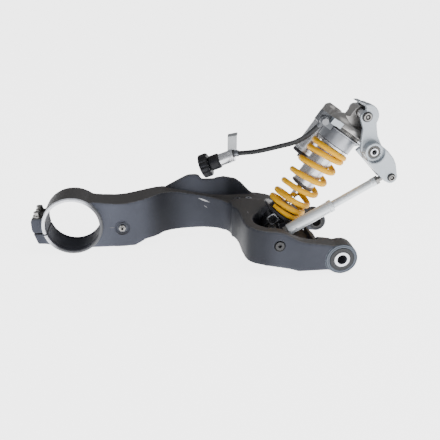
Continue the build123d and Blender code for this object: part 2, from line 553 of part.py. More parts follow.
NODES = {
    "swingarm_casting": swingarm_casting(),
    "pinch_bolts": pinch_bolts(),
    "pinch_washers": pinch_washers(),
    "near_pivot_bearing": pivot_bearing(NEAR_BEARING_R, NEAR_SLEEVE_R + APART, -110, -80),
    "near_pivot_seal": pivot_bearing(NEAR_BEARING_R - 0.5, NEAR_SLEEVE_R + APART, -113, -110),
    "near_pivot_sleeve": disc_y(0, 0, NEAR_SLEEVE_R, -PIVOT_HALF, NEAR_LUG_IN, AXLE_R),
    "far_pivot_bearing": pivot_bearing(FAR_BEARING_R, FAR_SLEEVE_R + APART, 73, 110),
    "far_pivot_seal": pivot_bearing(FAR_BEARING_R - 0.5, FAR_SLEEVE_R + APART, 70, 73),
    "far_pivot_sleeve": disc_y(0, 0, FAR_SLEEVE_R, FAR_LUG_IN, PIVOT_HALF, AXLE_R),
    "guide_stud": disc_y(GUIDE_X, GUIDE_Z, GUIDE_STUD_R, 37, 66, GUIDE_THREAD_R),
    "guide_washer": disc_y(GUIDE_X, GUIDE_Z, 10.5, 46.2, 48, GUIDE_STUD_R + RUNNING),
    "guide_nut": hexagon_y(GUIDE_X, GUIDE_Z, 13, 39.5, 46.2, GUIDE_STUD_R + RUNNING),
    "foot_bolt": foot_bolt(),
    "foot_nut": hexagon_y(FOOT_X, FOOT_Z, 19, NUT_SEAT, NUT_SEAT + 9, FOOT_BOLT_R + RUNNING),
    "foot_spacer_near": foot_spacer(WELL_NEAR, BALL_NEAR),
    "foot_spacer_middle": foot_spacer(BALL_FAR, EYE_SIDES[0]),
    "foot_spacer_far": foot_spacer(EYE_SIDES[1], WELL_FAR),
    "lower_ball": ball(FOOT_X, ROD_Y, FOOT_Z, BALL_R, BALL_WIDTH, FOOT_BOLT_R + RUNNING),
    "lower_clevis": lower_clevis(),
    "lower_bush": eye_bush(FOOT_X, FOOT_Z, FOOT_BUSH_R, FOOT_BOLT_R),
    "rebound_knob": rebound_knob(),
    "lower_spring_seat": lower_seat(),
    "rod_locknut": hexagon(SHOCK, 24, SEAT_TOP, SEAT_TOP + 9, ROD_R),
    "damper_rod": disc(SHOCK, ROD_R, 28, 182),
    "bump_stop": disc(SHOCK, 14, 50, 60, ROD_R),
    "damper_piston": disc(SHOCK, TUBE_BORE - 0.1, 176, 186) - disc(SHOCK, ROD_R, 170, 182),
    "coil_spring": coil_spring(),
    "gland": gland(),
    "damper_tube": disc(SHOCK, TUBE_R, TUBE_LOW, TUBE_HIGH, TUBE_BORE),
    "preload_piston": preload_piston(),
    "preload_cylinder": preload_cylinder(),
    "ribbed_ring": disc(SHOCK, 34.5, CYLINDER_HIGH, HEAD_LOW, TUBE_R),
    "head_casting": head_casting(),
    "upper_bush": eye_bush(HEAD_X, HEAD_Z, HEAD_BUSH_R, HEAD_BOLT_R),
    "reservoir_tube": disc(
        SHOCK, RESERVOIR_R, RESERVOIR_LOW, RESERVOIR_HIGH, 17, RESERVOIR_X, RESERVOIR_Y
    ),
    "reservoir_cap": disc(
        SHOCK, RESERVOIR_R, RESERVOIR_LOW - 7, RESERVOIR_LOW, 0, RESERVOIR_X, RESERVOIR_Y
    ),
    "floating_piston": disc(SHOCK, 16.9, 175, 185, 0, RESERVOIR_X, RESERVOIR_Y),
    "gas_valve": disc(
        SHOCK, 4.5, RESERVOIR_LOW - 14, RESERVOIR_LOW - 7, 0, RESERVOIR_X, RESERVOIR_Y
    ),
    "compression_knob": disc(
        SHOCK, 8, KNOB_POCKET + APART, LOBE_TOP - 0.5, 0, RESERVOIR_X, RESERVOIR_Y
    ),
    "inlet_block": inlet_block(),
    "banjo_fitting": banjo(),
    "banjo_bolt": banjo_bolt(),
    "retainer_clip": retainer_block(),
    "preload_hose": hose_tube(),
    "lower_rod_end": rod_end(FOOT_X, FOOT_Z, 11, 60),
    "lower_locknut": hexagon(ROD, 19, TIE_LOW - 7, TIE_LOW, SHANK_R),
    "tie_rod_tube": tie_rod_tube(),
    "tie_rod_shaft": tie_rod_shaft(),
    "upper_locknut": hexagon(ROD, 17, TIE_HIGH, TIE_HIGH + 6, SHANK_R),
    "upper_rod_end": rod_end(ROD_TOP_X, ROD_TOP_Z, TIE_HIGH - 19, ROD_LENGTH - 11),
    "upper_ball": ball(ROD_TOP_X, ROD_Y, ROD_TOP_Z, BALL_R, BALL_WIDTH, OPEN_BALL_BORE),
    "rocker_casting": rocker_casting(),
    "rocker_bearings": rocker_bearing(BOSS_NEAR + 2) + rocker_bearing(BOSS_FAR - 16),
    "rocker_sleeve": disc_y(
        ROCKER_X, ROCKER_Z, ROCKER_SLEEVE_R, BOSS_NEAR - 1, BOSS_FAR + 1, ROCKER_BORE
    ),
    "rocker_bolts": cap_bolt(HEAD_X, HEAD_Z, HEAD_BOLT_R, 10, PLATE_NEAR[0], EAR_FAR[1] + 7, 8)
    + cap_bolt(ROD_TOP_X, ROD_TOP_Z, ROD_BOLT_R, 8, FORK_NEAR[0], FORK_FAR[1] + 7, 6),
    "rocker_nuts": hexagon_y(HEAD_X, HEAD_Z, 15, EAR_FAR[1], EAR_FAR[1] + 7, HEAD_BOLT_R)
    + hexagon_y(ROD_TOP_X, ROD_TOP_Z, 13, FORK_FAR[1], FORK_FAR[1] + 7, ROD_BOLT_R),
    "rocker_spacers": head_spacer(PLATE_NEAR[1], EYE_SIDES[0])
    + head_spacer(EYE_SIDES[1], EAR_FAR[0]),
    "adjuster_knob": adjuster_knob(),
    "adjuster_body": disc(ADJUSTER, 16.5, KNOB_HIGH + APART, BODY_END),
    "adjuster_barrel": adjuster_barrel(),
}

for name, shape in NODES.items():
    shape.label = name
    export_step(shape, f"parts/{name}.step")
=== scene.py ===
"""Looks of the motorcycle rear suspension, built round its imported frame. The pieces' own lengths are
in millimetres, and the matrix that places a piece turns them into the row's metres."""

import json
from math import cos, pi, radians, sin, tan

import bmesh
import bpy
from mathutils import Matrix, Vector


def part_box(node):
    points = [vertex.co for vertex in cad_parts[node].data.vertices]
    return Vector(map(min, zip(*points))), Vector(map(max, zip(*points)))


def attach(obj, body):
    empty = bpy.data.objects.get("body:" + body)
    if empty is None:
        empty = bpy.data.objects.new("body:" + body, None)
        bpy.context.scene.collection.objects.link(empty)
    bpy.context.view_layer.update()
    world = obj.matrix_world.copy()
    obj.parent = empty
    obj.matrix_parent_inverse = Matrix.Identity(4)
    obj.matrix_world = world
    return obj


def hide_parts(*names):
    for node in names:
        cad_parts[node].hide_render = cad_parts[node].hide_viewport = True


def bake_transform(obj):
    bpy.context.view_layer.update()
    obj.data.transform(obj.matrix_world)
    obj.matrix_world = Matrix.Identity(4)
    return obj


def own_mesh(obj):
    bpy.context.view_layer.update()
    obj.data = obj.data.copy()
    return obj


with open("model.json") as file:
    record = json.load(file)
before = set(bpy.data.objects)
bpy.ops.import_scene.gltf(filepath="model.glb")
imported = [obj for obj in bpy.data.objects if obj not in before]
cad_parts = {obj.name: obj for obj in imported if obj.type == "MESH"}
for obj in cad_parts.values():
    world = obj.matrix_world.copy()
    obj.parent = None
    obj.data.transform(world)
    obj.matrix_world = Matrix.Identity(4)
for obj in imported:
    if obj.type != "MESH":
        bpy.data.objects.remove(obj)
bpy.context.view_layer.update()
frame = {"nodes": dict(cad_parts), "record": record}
MM = 0.001
JOINTS = {joint["name"]: joint for joint in frame["record"]["behaviour"]["joints"]}
SLOT_OF = {entry["node"]: entry["material_slot"] for entry in frame["record"]["subparts"]}


def linked(name, data):
    """A new object in the scene."""
    made = bpy.data.objects.new(name, data)
    bpy.context.collection.objects.link(made)
    return made


# ---- camera ------------------------------------------------------------------------------------
CAMERA_AT = (-0.35586, -1.05377, 0.51775)
CAMERA_TURN, CAMERA_DROP = radians(6.89), radians(23.90)
LENS, SENSOR = 45.82, 36.0

camera_data = bpy.data.cameras.new("camera")
camera_data.lens = LENS
camera_data.sensor_width = SENSOR
camera_data.clip_start = 0.01
camera = linked("camera", camera_data)
camera.location = CAMERA_AT
camera.rotation_euler = (pi / 2 - CAMERA_DROP, 0, -CAMERA_TURN)
bpy.context.scene.camera = camera


# ---- frames ------------------------------------------------------------------------------------
def frame_at(origin, way):
    """Matrix from millimetres along a piece, Z along way and Y near the row's Y, to the row."""
    z = Vector(way).normalized()
    x = Vector((0, 1, 0)).cross(z).normalized()
    y = z.cross(x)
    turn = Matrix((x, y, z)).transposed().to_4x4()
    return Matrix.Translation(Vector(origin)) @ turn @ Matrix.Scale(MM, 4)


def across(x, z, y=0.0):
    """Matrix for a round piece along the row's Y: local Z is +Y, local X is +X, local Y is -Z."""
    turn = Matrix(((1, 0, 0), (0, 0, 1), (0, -1, 0))).to_4x4()
    return Matrix.Translation(Vector((x, y, z)) * MM) @ turn @ Matrix.Scale(MM, 4)


def upright(x, y):
    """Matrix for a round piece that stands along the row's Z."""
    return Matrix.Translation(Vector((x, y, 0)) * MM) @ Matrix.Scale(MM, 4)


def middle(node):
    low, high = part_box(node)
    return (Vector(low) + Vector(high)) / 2


ROW = Matrix.Scale(MM, 4)
# Local X and Y lie along the row's X and Z, and local Z along its Y.
SIDEWAYS = Matrix(((1, 0, 0, 0), (0, 0, 1, 0), (0, 1, 0, 0), (0, 0, 0, 1)))
FOOT = Vector(JOINTS["shock_swing"]["pos_m"])
HEAD = Vector(JOINTS["rocker_swing"]["pos_m"])
ROD_FOOT = Vector(JOINTS["rod_swing"]["pos_m"])
SHOCK_WAY = Vector(JOINTS["shock_stroke"]["axis"])
SHOCK = frame_at(FOOT, SHOCK_WAY)
ROD = frame_at(ROD_FOOT, middle("upper_ball") - ROD_FOOT)
ADJUSTER = frame_at(JOINTS["preload_knob_turn"]["pos_m"], JOINTS["preload_knob_turn"]["axis"])


# ---- materials ---------------------------------------------------------------------------------
def add_node(tree, kind, inputs, **settings):
    """A new shader node. Each input is a value, or the output that feeds it."""
    node = tree.nodes.new("ShaderNode" + kind)
    for name, value in settings.items():
        setattr(node, name, value)
    for name, value in inputs.items():
        if isinstance(value, bpy.types.NodeSocket):
            tree.links.new(value, node.inputs[name])
        else:
            node.inputs[name].default_value = value
    return node


def mapped(tree, value, low, high, to_low=0.0, to_high=1.0):
    """A value between low and high, turned into one between to_low and to_high."""
    ends = {"From Min": low, "From Max": high, "To Min": to_low, "To Max": to_high}
    return add_node(tree, "MapRange", {"Value": value, **ends}).outputs["Result"]


def mixed(tree, share, base, over, blend_type="MIX"):
    """Colour base with a share of colour over on it."""
    inputs = {"Factor": share, "A": base, "B": over}
    return add_node(tree, "Mix", inputs, data_type="RGBA", blend_type=blend_type).outputs["Result"]


def noise(tree, place, scale, detail, roughness=0.5):
    inputs = {"Vector": place, "Scale": scale, "Detail": detail, "Roughness": roughness}
    return add_node(tree, "TexNoise", inputs).outputs["Fac"]


def painted_shading(tree, place, top, painted_shade):
    """Painted shade and light: the colour multiplied along a direction in the row, between start and end, by
    the share at each of the stops."""
    way, start, end, stops = painted_shade
    along = add_node(tree, "VectorMath", {0: place, 1: way}, operation="DOT_PRODUCT")
    shade = add_node(tree, "ValToRGB", {"Fac": mapped(tree, along.outputs["Value"], start, end)})
    shade.color_ramp.interpolation = "EASE"
    points = shade.color_ramp.elements
    while len(points) < len(stops):
        points.new(0.5)
    for point, (where, share) in zip(points, stops):
        point.position = (where - start) / (end - start)
        point.color = (share, share, share, 1)
    return mixed(tree, 1.0, top, shade.outputs["Color"], "MULTIPLY")


def dust_and_painted_top_tone(tree, top, dust_and_top_tone):
    """The colour blended, on faces that look up, towards a second colour: a dusty film, and a painted top
    tone that copies how light falls on the tops.
    """
    facing = add_node(tree, "NewGeometry", {})
    split = add_node(tree, "SeparateXYZ", {"Vector": facing.outputs["Normal"]})
    return mixed(tree, mapped(tree, split.outputs["Z"], 0.35, 0.95), top, (*dust_and_top_tone, 1))


def worn(tree, top, bare, amount):
    """The colour with its raised edges rubbed bare."""
    shape = add_node(tree, "NewGeometry", {})
    edge = mapped(tree, shape.outputs["Pointiness"], 0.52, 0.60, to_high=amount)
    return mixed(tree, edge, top, (*bare, 1))


def scuff_and_glint(tree, place, top, centre, sizes, slope, bright):
    """The colour with an oval bright streak, broken up by noise: bare metal rubbed through, with its glint
    painted in as colour. Its half sizes are in metres, and its slope is in degrees below level."""
    inputs = {"Vector": place, "Location": centre, "Rotation": (0, radians(slope), 0), "Scale": sizes}
    spot = add_node(tree, "Mapping", inputs, vector_type="TEXTURE")
    reach = add_node(tree, "VectorMath", {0: spot.outputs["Vector"]}, operation="LENGTH")
    ragged = noise(tree, place, 420.0, 3.0)
    edge = add_node(tree, "Math", {0: reach.outputs["Value"], 1: ragged}, operation="ADD")
    inside = mapped(tree, edge.outputs["Value"], 1.35, 0.95)
    return mixed(tree, inside, top, (bright, bright, 1.04 * bright, 1))


def material(name, colour, rough, metallic, second, spread, scale, grain=0.0, grain_scale=900.0,
             rough_spread=0.08, wear=None, stretch=(1, 1, 1), dust_and_top_tone=None, specular=0.5, painted_shade=None,
             scuffs_and_glints=()):
    """A procedural surface: a colour mottled towards a second, with fine grain. wear is (bare colour,
    amount), dust is the colour taken by faces that look up, a dusty film with a painted top tone, stains is
    painted shade and light as (direction, start, end, [(place, share)]), and each of the scuffs, bare streaks
    with painted glints, is (centre, half sizes, slope, brightness)."""
    made = bpy.data.materials.new(name)
    made.use_nodes = True
    tree = made.node_tree
    shader = tree.nodes["Principled BSDF"]
    shader.inputs["Metallic"].default_value = metallic
    shader.inputs["Specular IOR Level"].default_value = specular
    place = add_node(tree, "TexCoord", {}).outputs["Object"]
    lay = add_node(tree, "Mapping", {"Vector": place, "Scale": stretch}).outputs["Vector"]
    mottle = noise(tree, lay, scale, 6.0, 0.62)
    share = mapped(tree, mottle, 0.5 - spread / 2, 0.5 + spread / 2)
    top = mixed(tree, share, (*colour, 1), (*second, 1))
    if painted_shade:
        top = painted_shading(tree, place, top, painted_shade)
    if dust_and_top_tone:
        top = dust_and_painted_top_tone(tree, top, dust_and_top_tone)
    if wear:
        top = worn(tree, top, *wear)
    for bright_mark in scuffs_and_glints:
        top = scuff_and_glint(tree, place, top, *bright_mark)
    tree.links.new(top, shader.inputs["Base Color"])
    gloss = mapped(tree, mottle, 0.0, 1.0, max(0.02, rough - rough_spread), min(1.0, rough + rough_spread))
    tree.links.new(gloss, shader.inputs["Roughness"])
    if grain:
        inputs = {"Height": noise(tree, lay, grain_scale, 3.0), "Strength": grain, "Distance": 0.0004}
        tree.links.new(add_node(tree, "Bump", inputs).outputs["Normal"], shader.inputs["Normal"])
    return made


def plain(name, colour, rough, glow=0.0):
    """An even surface for the floor and the cards round the object."""
    made = bpy.data.materials.new(name)
    made.use_nodes = True
    inputs = made.node_tree.nodes["Principled BSDF"].inputs
    inputs["Base Color"].default_value = (*colour, 1)
    inputs["Roughness"].default_value = rough
    inputs["Emission Color"].default_value = (1, 1, 1, 1)
    inputs["Emission Strength"].default_value = glow
    return made


# Painted shade along the arm, darker where its surface turns away from the light: each stop is a place along
# the row's X, in metres, and the share of the colour that is left there.
ARM_PAINTED_SHADE = [(-0.60, 0.8), (-0.46, 1.0), (-0.40, 0.8), (-0.345, 0.22), (-0.27, 0.62), (-0.215, 0.50),
             (-0.190, 0.22), (-0.165, 0.34), (-0.12, 0.62), (0.0, 0.66)]
# Bright streaks on the arm: bare metal rubbed through, each with its glint painted in as colour.
ARM_SCUFFS_AND_GLINTS = [
    ((-0.253, 0.092, 0.0560), (0.0170, 0.012, 0.0022), 21, 0.42),
    ((-0.250, 0.092, 0.0410), (0.0060, 0.012, 0.0013), 36, 0.20),
    ((-0.209, 0.086, 0.0150), (0.0100, 0.014, 0.0013), 38, 0.24),
    ((-0.454, 0.045, 0.0220), (0.0090, 0.004, 0.0010), 0, 0.12),
    ((-0.174, -0.020, 0.0670), (0.0030, 0.012, 0.0060), 0, 0.17),
    ((-0.167, -0.060, 0.0670), (0.0100, 0.006, 0.0060), 0, 0.17),
]
# On the cast arm, faces that look up get a dusty film with a painted top tone, set to how light falls on the
# tops.
CAST_ARM = material("cast_arm", (0.064, 0.069, 0.089), 0.56, 0.05, (0.050, 0.054, 0.069), 0.5, 14.0,
                    0.22, 700.0, wear=((0.26, 0.27, 0.29), 0.35), dust_and_top_tone=(0.074, 0.071, 0.070),
                    specular=0.10, painted_shade=((1, 0, 0), -0.62, 0.04, ARM_PAINTED_SHADE), scuffs_and_glints=ARM_SCUFFS_AND_GLINTS)
MACHINED = material("machined", (0.62, 0.63, 0.65), 0.27, 0.85, (0.48, 0.49, 0.52), 0.6, 40.0,
                    0.12, 1500.0, stretch=(1, 6, 1))
BRIGHT_ALLOY = material("bright_alloy", (0.37, 0.40, 0.43), 0.36, 0.55, (0.29, 0.32, 0.35), 0.7, 18.0,
                        0.10, 900.0)
GREY_ALLOY = material("grey_alloy", (0.34, 0.35, 0.375), 0.33, 0.8, (0.25, 0.26, 0.285), 0.6, 25.0,
                      0.10, 1100.0)
DOME_ALLOY = material("dome_alloy", (0.36, 0.35, 0.34), 0.3, 0.80, (0.27, 0.26, 0.25), 0.6, 22.0,
                      0.10, 900.0)
DARK_CAST = material("dark_cast", (0.10, 0.105, 0.115), 0.45, 0.3, (0.06, 0.065, 0.075), 0.5, 70.0,
                     0.35, 800.0, wear=((0.5, 0.5, 0.52), 0.5))
STEEL = material("steel", (0.26, 0.255, 0.25), 0.30, 0.9, (0.13, 0.127, 0.12), 0.5, 160.0, 0.12)
CHROME = material("chrome_rod", (0.78, 0.78, 0.78), 0.09, 1.0, (0.70, 0.70, 0.70), 0.6, 60.0,
                  rough_spread=0.03)
YELLOW = material("spring_paint", (0.72, 0.375, 0.006), 0.5, 0.0, (0.64, 0.32, 0.004), 0.6, 30.0,
                  0.10, 600.0, specular=0.12)
BLACK_ALLOY = material("black_alloy", (0.016, 0.016, 0.019), 0.38, 0.1, (0.026, 0.026, 0.030), 0.5,
                       90.0, 0.10, wear=((0.35, 0.35, 0.36), 0.5), specular=0.25)
BLACK_PLASTIC = material("black_plastic", (0.005, 0.006, 0.009), 0.5, 0.0, (0.010, 0.010, 0.013),
                         0.5, 120.0, 0.25, 1400.0, dust_and_top_tone=(0.016, 0.0155, 0.015), specular=0.2)
RUBBER = material("rubber", (0.012, 0.013, 0.015), 0.5, 0.0, (0.02, 0.021, 0.023), 0.5, 150.0, 0.2,
                  1200.0, specular=0.3)
FOAM = material("foam", (0.33, 0.28, 0.16), 0.8, 0.0, (0.24, 0.20, 0.11), 0.5, 300.0, 0.5, 900.0)
BRONZE = material("bronze", (0.12, 0.105, 0.085), 0.4, 0.6, (0.08, 0.07, 0.06), 0.5, 200.0, 0.15)
BEARING = material("bearing_steel", (0.09, 0.085, 0.08), 0.35, 0.7, (0.05, 0.048, 0.045), 0.5, 200.0, 0.1)
# On the foot bolt and the far pivot sleeve this dark steel is painted shade.
DARK_STEEL_AND_SHADE = material("dark_steel_and_shade", (0.038, 0.038, 0.040), 0.36, 0.3, (0.022, 0.022, 0.023), 0.5, 160.0,
                      0.12, specular=0.3)
ROD_ALLOY = material("rod_alloy", (0.66, 0.69, 0.71), 0.34, 0.5, (0.56, 0.59, 0.62), 0.7, 18.0, 0.10, 900.0)
SLOTS = {
    "cast_arm": CAST_ARM,
    "machined": MACHINED,
    "bright_alloy": BRIGHT_ALLOY,
    "grey_alloy": GREY_ALLOY,
    "dome_alloy": DOME_ALLOY,
    "dark_cast": DARK_CAST,
    "steel": STEEL,
    "chrome_rod": CHROME,
    "spring_paint": YELLOW,
    "black_alloy": BLACK_ALLOY,
    "black_plastic": BLACK_PLASTIC,
    "rubber": RUBBER,
    "foam": FOAM,
    "bronze": BRONZE,
    "bearing_steel": BEARING,
}


# ---- mesh helpers ------------------------------------------------------------------------------
def mesh_from(shape, name):
    mesh = bpy.data.meshes.new(name)
    shape.to_mesh(mesh)
    shape.free()
    return mesh


def shaded(mesh, sharp=38.0):
    """The mesh, smooth but for its edges sharper than that many degrees."""
    mesh.shade_smooth()
    mesh.set_sharp_from_angle(angle=radians(sharp))
    return mesh


def finish_mesh(shape, name, sharp=38.0):
    bmesh.ops.recalc_face_normals(shape, faces=shape.faces)
    return shaded(mesh_from(shape, name), sharp)


def piece(name, mesh, body, slot, nodes=(), materials=None):
    """A visual piece that rides on a body, stands for the nodes and has its slot's material, or
    the materials given."""
    made = linked(name, mesh)
    if not mesh.materials:
        for surface in materials or [SLOTS[slot]]:
            mesh.materials.append(surface)
    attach(made, body)
    if nodes:
        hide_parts(*nodes)
    return made


def soften(corners, radius, steps=3):
    """The closed outline with each corner rounded to radius, or less where its sides are short."""
    made = []
    for i, corner in enumerate(corners):
        here = Vector(corner)
        before, after = Vector(corners[i - 1]), Vector(corners[(i + 1) % len(corners)])
        to_before, to_after = before - here, after - here
        half = to_before.angle(to_after) / 2
        cut = min(radius / max(tan(half), 0.05), 0.45 * to_before.length, 0.45 * to_after.length)
        if half > 1.45 or cut < 0.01:
            made.append(tuple(here))
            continue
        start = here + to_before.normalized() * cut
        end = here + to_after.normalized() * cut
        for k in range(steps + 1):
            t = k / steps
            made.append(tuple(start * (1 - t) ** 2 + here * 2 * t * (1 - t) + end * t * t))
    return made


def ring(shape, radii, height):
    """Vertices evenly round local Z, one at each of the radii."""
    made = []
    for i, radius in enumerate(radii):
        a = 2 * pi * i / len(radii)
        made.append(shape.verts.new((radius * cos(a), radius * sin(a), height)))
    return made


def bridge(shape, rings):
    """Faces from each ring of vertices to the next."""
    for one, two in zip(rings, rings[1:]):
        for i in range(len(one)):
            j = (i + 1) % len(one)
            shape.faces.new((one[i], one[j], two[j], two[i]))


def close_ends(shape, rings):
    shape.faces.new(list(reversed(rings[0])))
    shape.faces.new(rings[-1])


def lathe(name, profile, matrix, steps=72):
    """A turned piece from a closed profile of (radius, height) points."""
    shape = bmesh.new()
    rings = [ring(shape, [radius] * steps, height) for radius, height in profile]
    bridge(shape, rings + rings[:1])
    bmesh.ops.remove_doubles(shape, verts=shape.verts, dist=1e-4)
    bmesh.ops.dissolve_degenerate(shape, edges=shape.edges, dist=1e-4)
    bmesh.ops.transform(shape, matrix=matrix, verts=shape.verts)
    return finish_mesh(shape, name)


def turned(name, corners, matrix, radius=0.8, steps=72):
    """A turned piece whose profile's corners are rounded."""
    return lathe(name, soften(corners, radius), matrix, steps)


def rod_of(radius, low, high, matrix, steps=64):
    return lathe("rod", [(0, low), (radius, low), (radius, high), (0, high)], matrix, steps)



def slab(name, outline, low, high, matrix, edge=0.6):
    """A plate with its outline in local X and Y, from low to high, edges eased."""
    shape = bmesh.new()
    bottom = [shape.verts.new((x, y, low)) for x, y in outline]
    face = shape.faces.new(bottom)
    grown = bmesh.ops.extrude_face_region(shape, geom=[face])
    top = [v for v in grown["geom"] if isinstance(v, bmesh.types.BMVert)]
    bmesh.ops.translate(shape, verts=top, vec=(0, 0, high - low))
    bmesh.ops.recalc_face_normals(shape, faces=shape.faces)
    if edge:
        rims = [e for e in shape.edges if abs(e.verts[0].co.z - e.verts[1].co.z) < 1e-6]
        bmesh.ops.bevel(shape, geom=rims, offset=edge, segments=2, affect="EDGES", clamp_overlap=True)
    bmesh.ops.transform(shape, matrix=matrix, verts=shape.verts)
    return finish_mesh(shape, name)


def tube(name, points, radii, sides):
    """A round tube along points, in metres, with its own radius at each, ends closed."""
    shape = bmesh.new()
    last = len(points) - 1
    ways = [(points[min(i + 1, last)] - points[max(i - 1, 0)]).normalized() for i in range(last + 1)]
    side = ways[0].orthogonal().normalized()
    rings = []
    for point, way, radius in zip(points, ways, radii):
        side = (side - way * side.dot(way)).normalized()
        up = way.cross(side)
        around = []
        for i in range(sides):
            a = 2 * pi * i / sides
            around.append(shape.verts.new(point + (side * cos(a) + up * sin(a)) * radius))
        rings.append(around)
    bridge(shape, rings)
    close_ends(shape, rings)
    return finish_mesh(shape, name, 50.0)


def ribbed(name, matrix, outer, inner, low, high, ribs, depth):
    """A ring with straight ribs round its outside and chamfered ends."""
    chamfer = 0.7
    shape = bmesh.new()
    rings = []
    for height, inset in ((low, chamfer), (low + chamfer, 0), (high - chamfer, 0), (high, chamfer)):
        crest = outer - inset
        rings.append(ring(shape, [crest, crest, crest - depth, crest - depth] * ribs, height))
    for height in (high, low):
        rings.append(ring(shape, [inner] * 4 * ribs, height))
    bridge(shape, rings + rings[:1])
    bmesh.ops.transform(shape, matrix=matrix, verts=shape.verts)
    return finish_mesh(shape, name, 30.0)


def joined(name, meshes):
    """One mesh out of several separate ones."""
    shape = bmesh.new()
    for mesh in meshes:
        shape.from_mesh(mesh)
    return shaded(mesh_from(shape, name))



def apply_modifiers(made):
    """The object's mesh with its modifiers applied, as a new mesh."""
    bpy.context.view_layer.update()
    seen = made.evaluated_get(bpy.context.evaluated_depsgraph_get())
    return bpy.data.meshes.new_from_object(seen)


def cast_blank(name, sources, voxel, passes):
    """Meshes fused into one skin with voxels of that many millimetres, edges rounded by passes."""
    blank = linked(name, joined(name, sources))
    remesh = blank.modifiers.new("fuse", "REMESH")
    remesh.mode = "VOXEL"
    remesh.voxel_size = voxel * MM
    remesh.adaptivity = 0.0
    smooth = blank.modifiers.new("round", "SMOOTH")
    smooth.factor = 0.5
    smooth.iterations = passes
    blank.data = apply_modifiers(blank)
    blank.modifiers.clear()
    return blank


def machine(blank, cutters, sharp=32.0):
    """The blank's mesh with the cutters' shapes taken off, and no materials."""
    for cutter in cutters:
        tool = linked("tool", cutter)
        cut = blank.modifiers.new("cut", "BOOLEAN")
        cut.operation = "DIFFERENCE"
        cut.solver = "MANIFOLD"
        cut.object = tool
        blank.data = apply_modifiers(blank)
        blank.modifiers.clear()
        bpy.data.objects.remove(tool)
    mesh = shaded(blank.data, sharp)
    mesh.materials.clear()
    bpy.data.objects.remove(blank)
    return mesh


def source(node):
    """A copy of a CAD node's mesh, welded."""
    shape = bmesh.new()
    shape.from_mesh(frame["nodes"][node].data)
    bmesh.ops.remove_doubles(shape, verts=shape.verts, dist=1e-6)
    return mesh_from(shape, node)


EYE_CLEAR_R = 30.0


def eye_cutter(bore, low, high, matrix, steps=72, before=25.0, after=25.0):
    """Turns a bore with eased ends and faces both its ends, clearing that much before and after."""
    line = [(0, low - before), (EYE_CLEAR_R, low - before), (EYE_CLEAR_R, low), (bore + 1, low)]
    line += [(bore, low + 1), (bore, high - 1), (bore + 1, high), (EYE_CLEAR_R, high)]
    line += [(EYE_CLEAR_R, high + after), (0, high + after)]
    return lathe("eye", line, matrix, steps)


# ---- preload hose ------------------------------------------------------------------------------
HOSE_R = 5.0
HOSE = [
    (-44.8, -38.0, 250.1),
    (-58.1, -30.4, 233.0),
    (-69.0, -15.0, 218.5),
    (-80.5, 6.0, 205.0),
    (-99.0, 34.0, 191.5),
    (-124.0, 60.0, 177.0),
    (-150.0, 80.5, 165.5),
    (-176.8, 90.0, 161.9),
]


def hose_path():
    """Points along the hose's smooth line, in metres."""
    curve = bpy.data.curves.new("hose_line", "CURVE")
    curve.dimensions = "3D"
    curve.resolution_u = 12
    spline = curve.splines.new("NURBS")
    spline.points.add(len(HOSE) - 1)
    for target, point in zip(spline.points, HOSE):
        target.co = (*[v * MM for v in point], 1)
    spline.order_u = 3
    spline.use_endpoint_u = True
    line = linked("hose_line", curve)
    bpy.context.view_layer.update()
    mesh = bpy.data.meshes.new_from_object(line.evaluated_get(bpy.context.evaluated_depsgraph_get()))
    points = [v.co.copy() for v in mesh.vertices]
    bpy.data.objects.remove(line)
    return points


def make_hose():
    path = hose_path()
    mesh = tube("preload_hose", path, [HOSE_R * MM] * len(path), 28)
    mesh.materials.append(RUBBER)
    hose = linked("preload_hose_line", mesh)
    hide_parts("preload_hose")
    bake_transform(hose)
    return hose, path


hose, hose_points = make_hose()


# ---- swingarm ----------------------------------------------------------------------------------
HUB_X, HUB_Z = -534.7, 30.8
HUB_BORE_R, HUB_R, HUB_CLEAR_R = 56.0, 62.8, 80.0
HUB_NEAR, HUB_FAR, HUB_OVERRUN = 38.0, 110.0, 18.0
HUB_STEP_NEAR, HUB_STEP_FAR = 6.5, 6.0
PIVOT_NEAR, PIVOT_FAR, FAR_LUG_IN = -113.0, 113.0, 69.0
NEAR_LUG_BORE_R, FAR_LUG_BORE_R, LUG_OVERRUN = 24.5, 17.0, 15.0
FOOT_X, FOOT_Z = FOOT.x / MM, FOOT.z / MM
BOX_FACE, RECESS_FLOOR, RECESS_R, FOOT_HOLE_R = -112.0, -103.0, 10.5, 6.1
STUD_X, STUD_Z, STUD_HOLE_R, ARM_FACE = -432.0, 21.0, 4.05, 45.0
FLOOR = -32.0
SLOT_END, SLOT_LOW, SLOT_HIGH = -640.0, 13.7, 17.2

# Each facing and hole is a radius, with the heights that it is cut between.
PINCH_X, PINCH_YS, PINCH_TOP = -606.0, (57.0, 91.0), 50.0
PINCH_FACING, PINCH_HOLE = (10.5, PINCH_TOP, PINCH_TOP + 30), (4.3, -40, PINCH_TOP + 5)
CHAIN_LUGS, CHAIN_LUG_Y = (-96.0, -64.0), 88.0
CHAIN_FACING, CHAIN_HOLE = (11.5, FLOOR - 12, FLOOR), (4.0, FLOOR - 5, FLOOR + 16)
DECK_BOSSES, DECK_TOP = ((-182.0, 66.0), (-158.0, 66.0)), 68.0
DECK_FACING, DECK_HOLE = (8.0, DECK_TOP, DECK_TOP + 12), (3.0, DECK_TOP - 12, DECK_TOP + 4)

BORE = material("bore", (0.060, 0.064, 0.080), 0.62, 0.0, (0.030, 0.030, 0.034), 0.6, 22.0, 0.15,
                specular=0.04)
LUG_FACE = material("lug_face", (0.058, 0.070, 0.090), 0.34, 0.3, (0.048, 0.058, 0.076), 0.5, 40.0, 0.1)
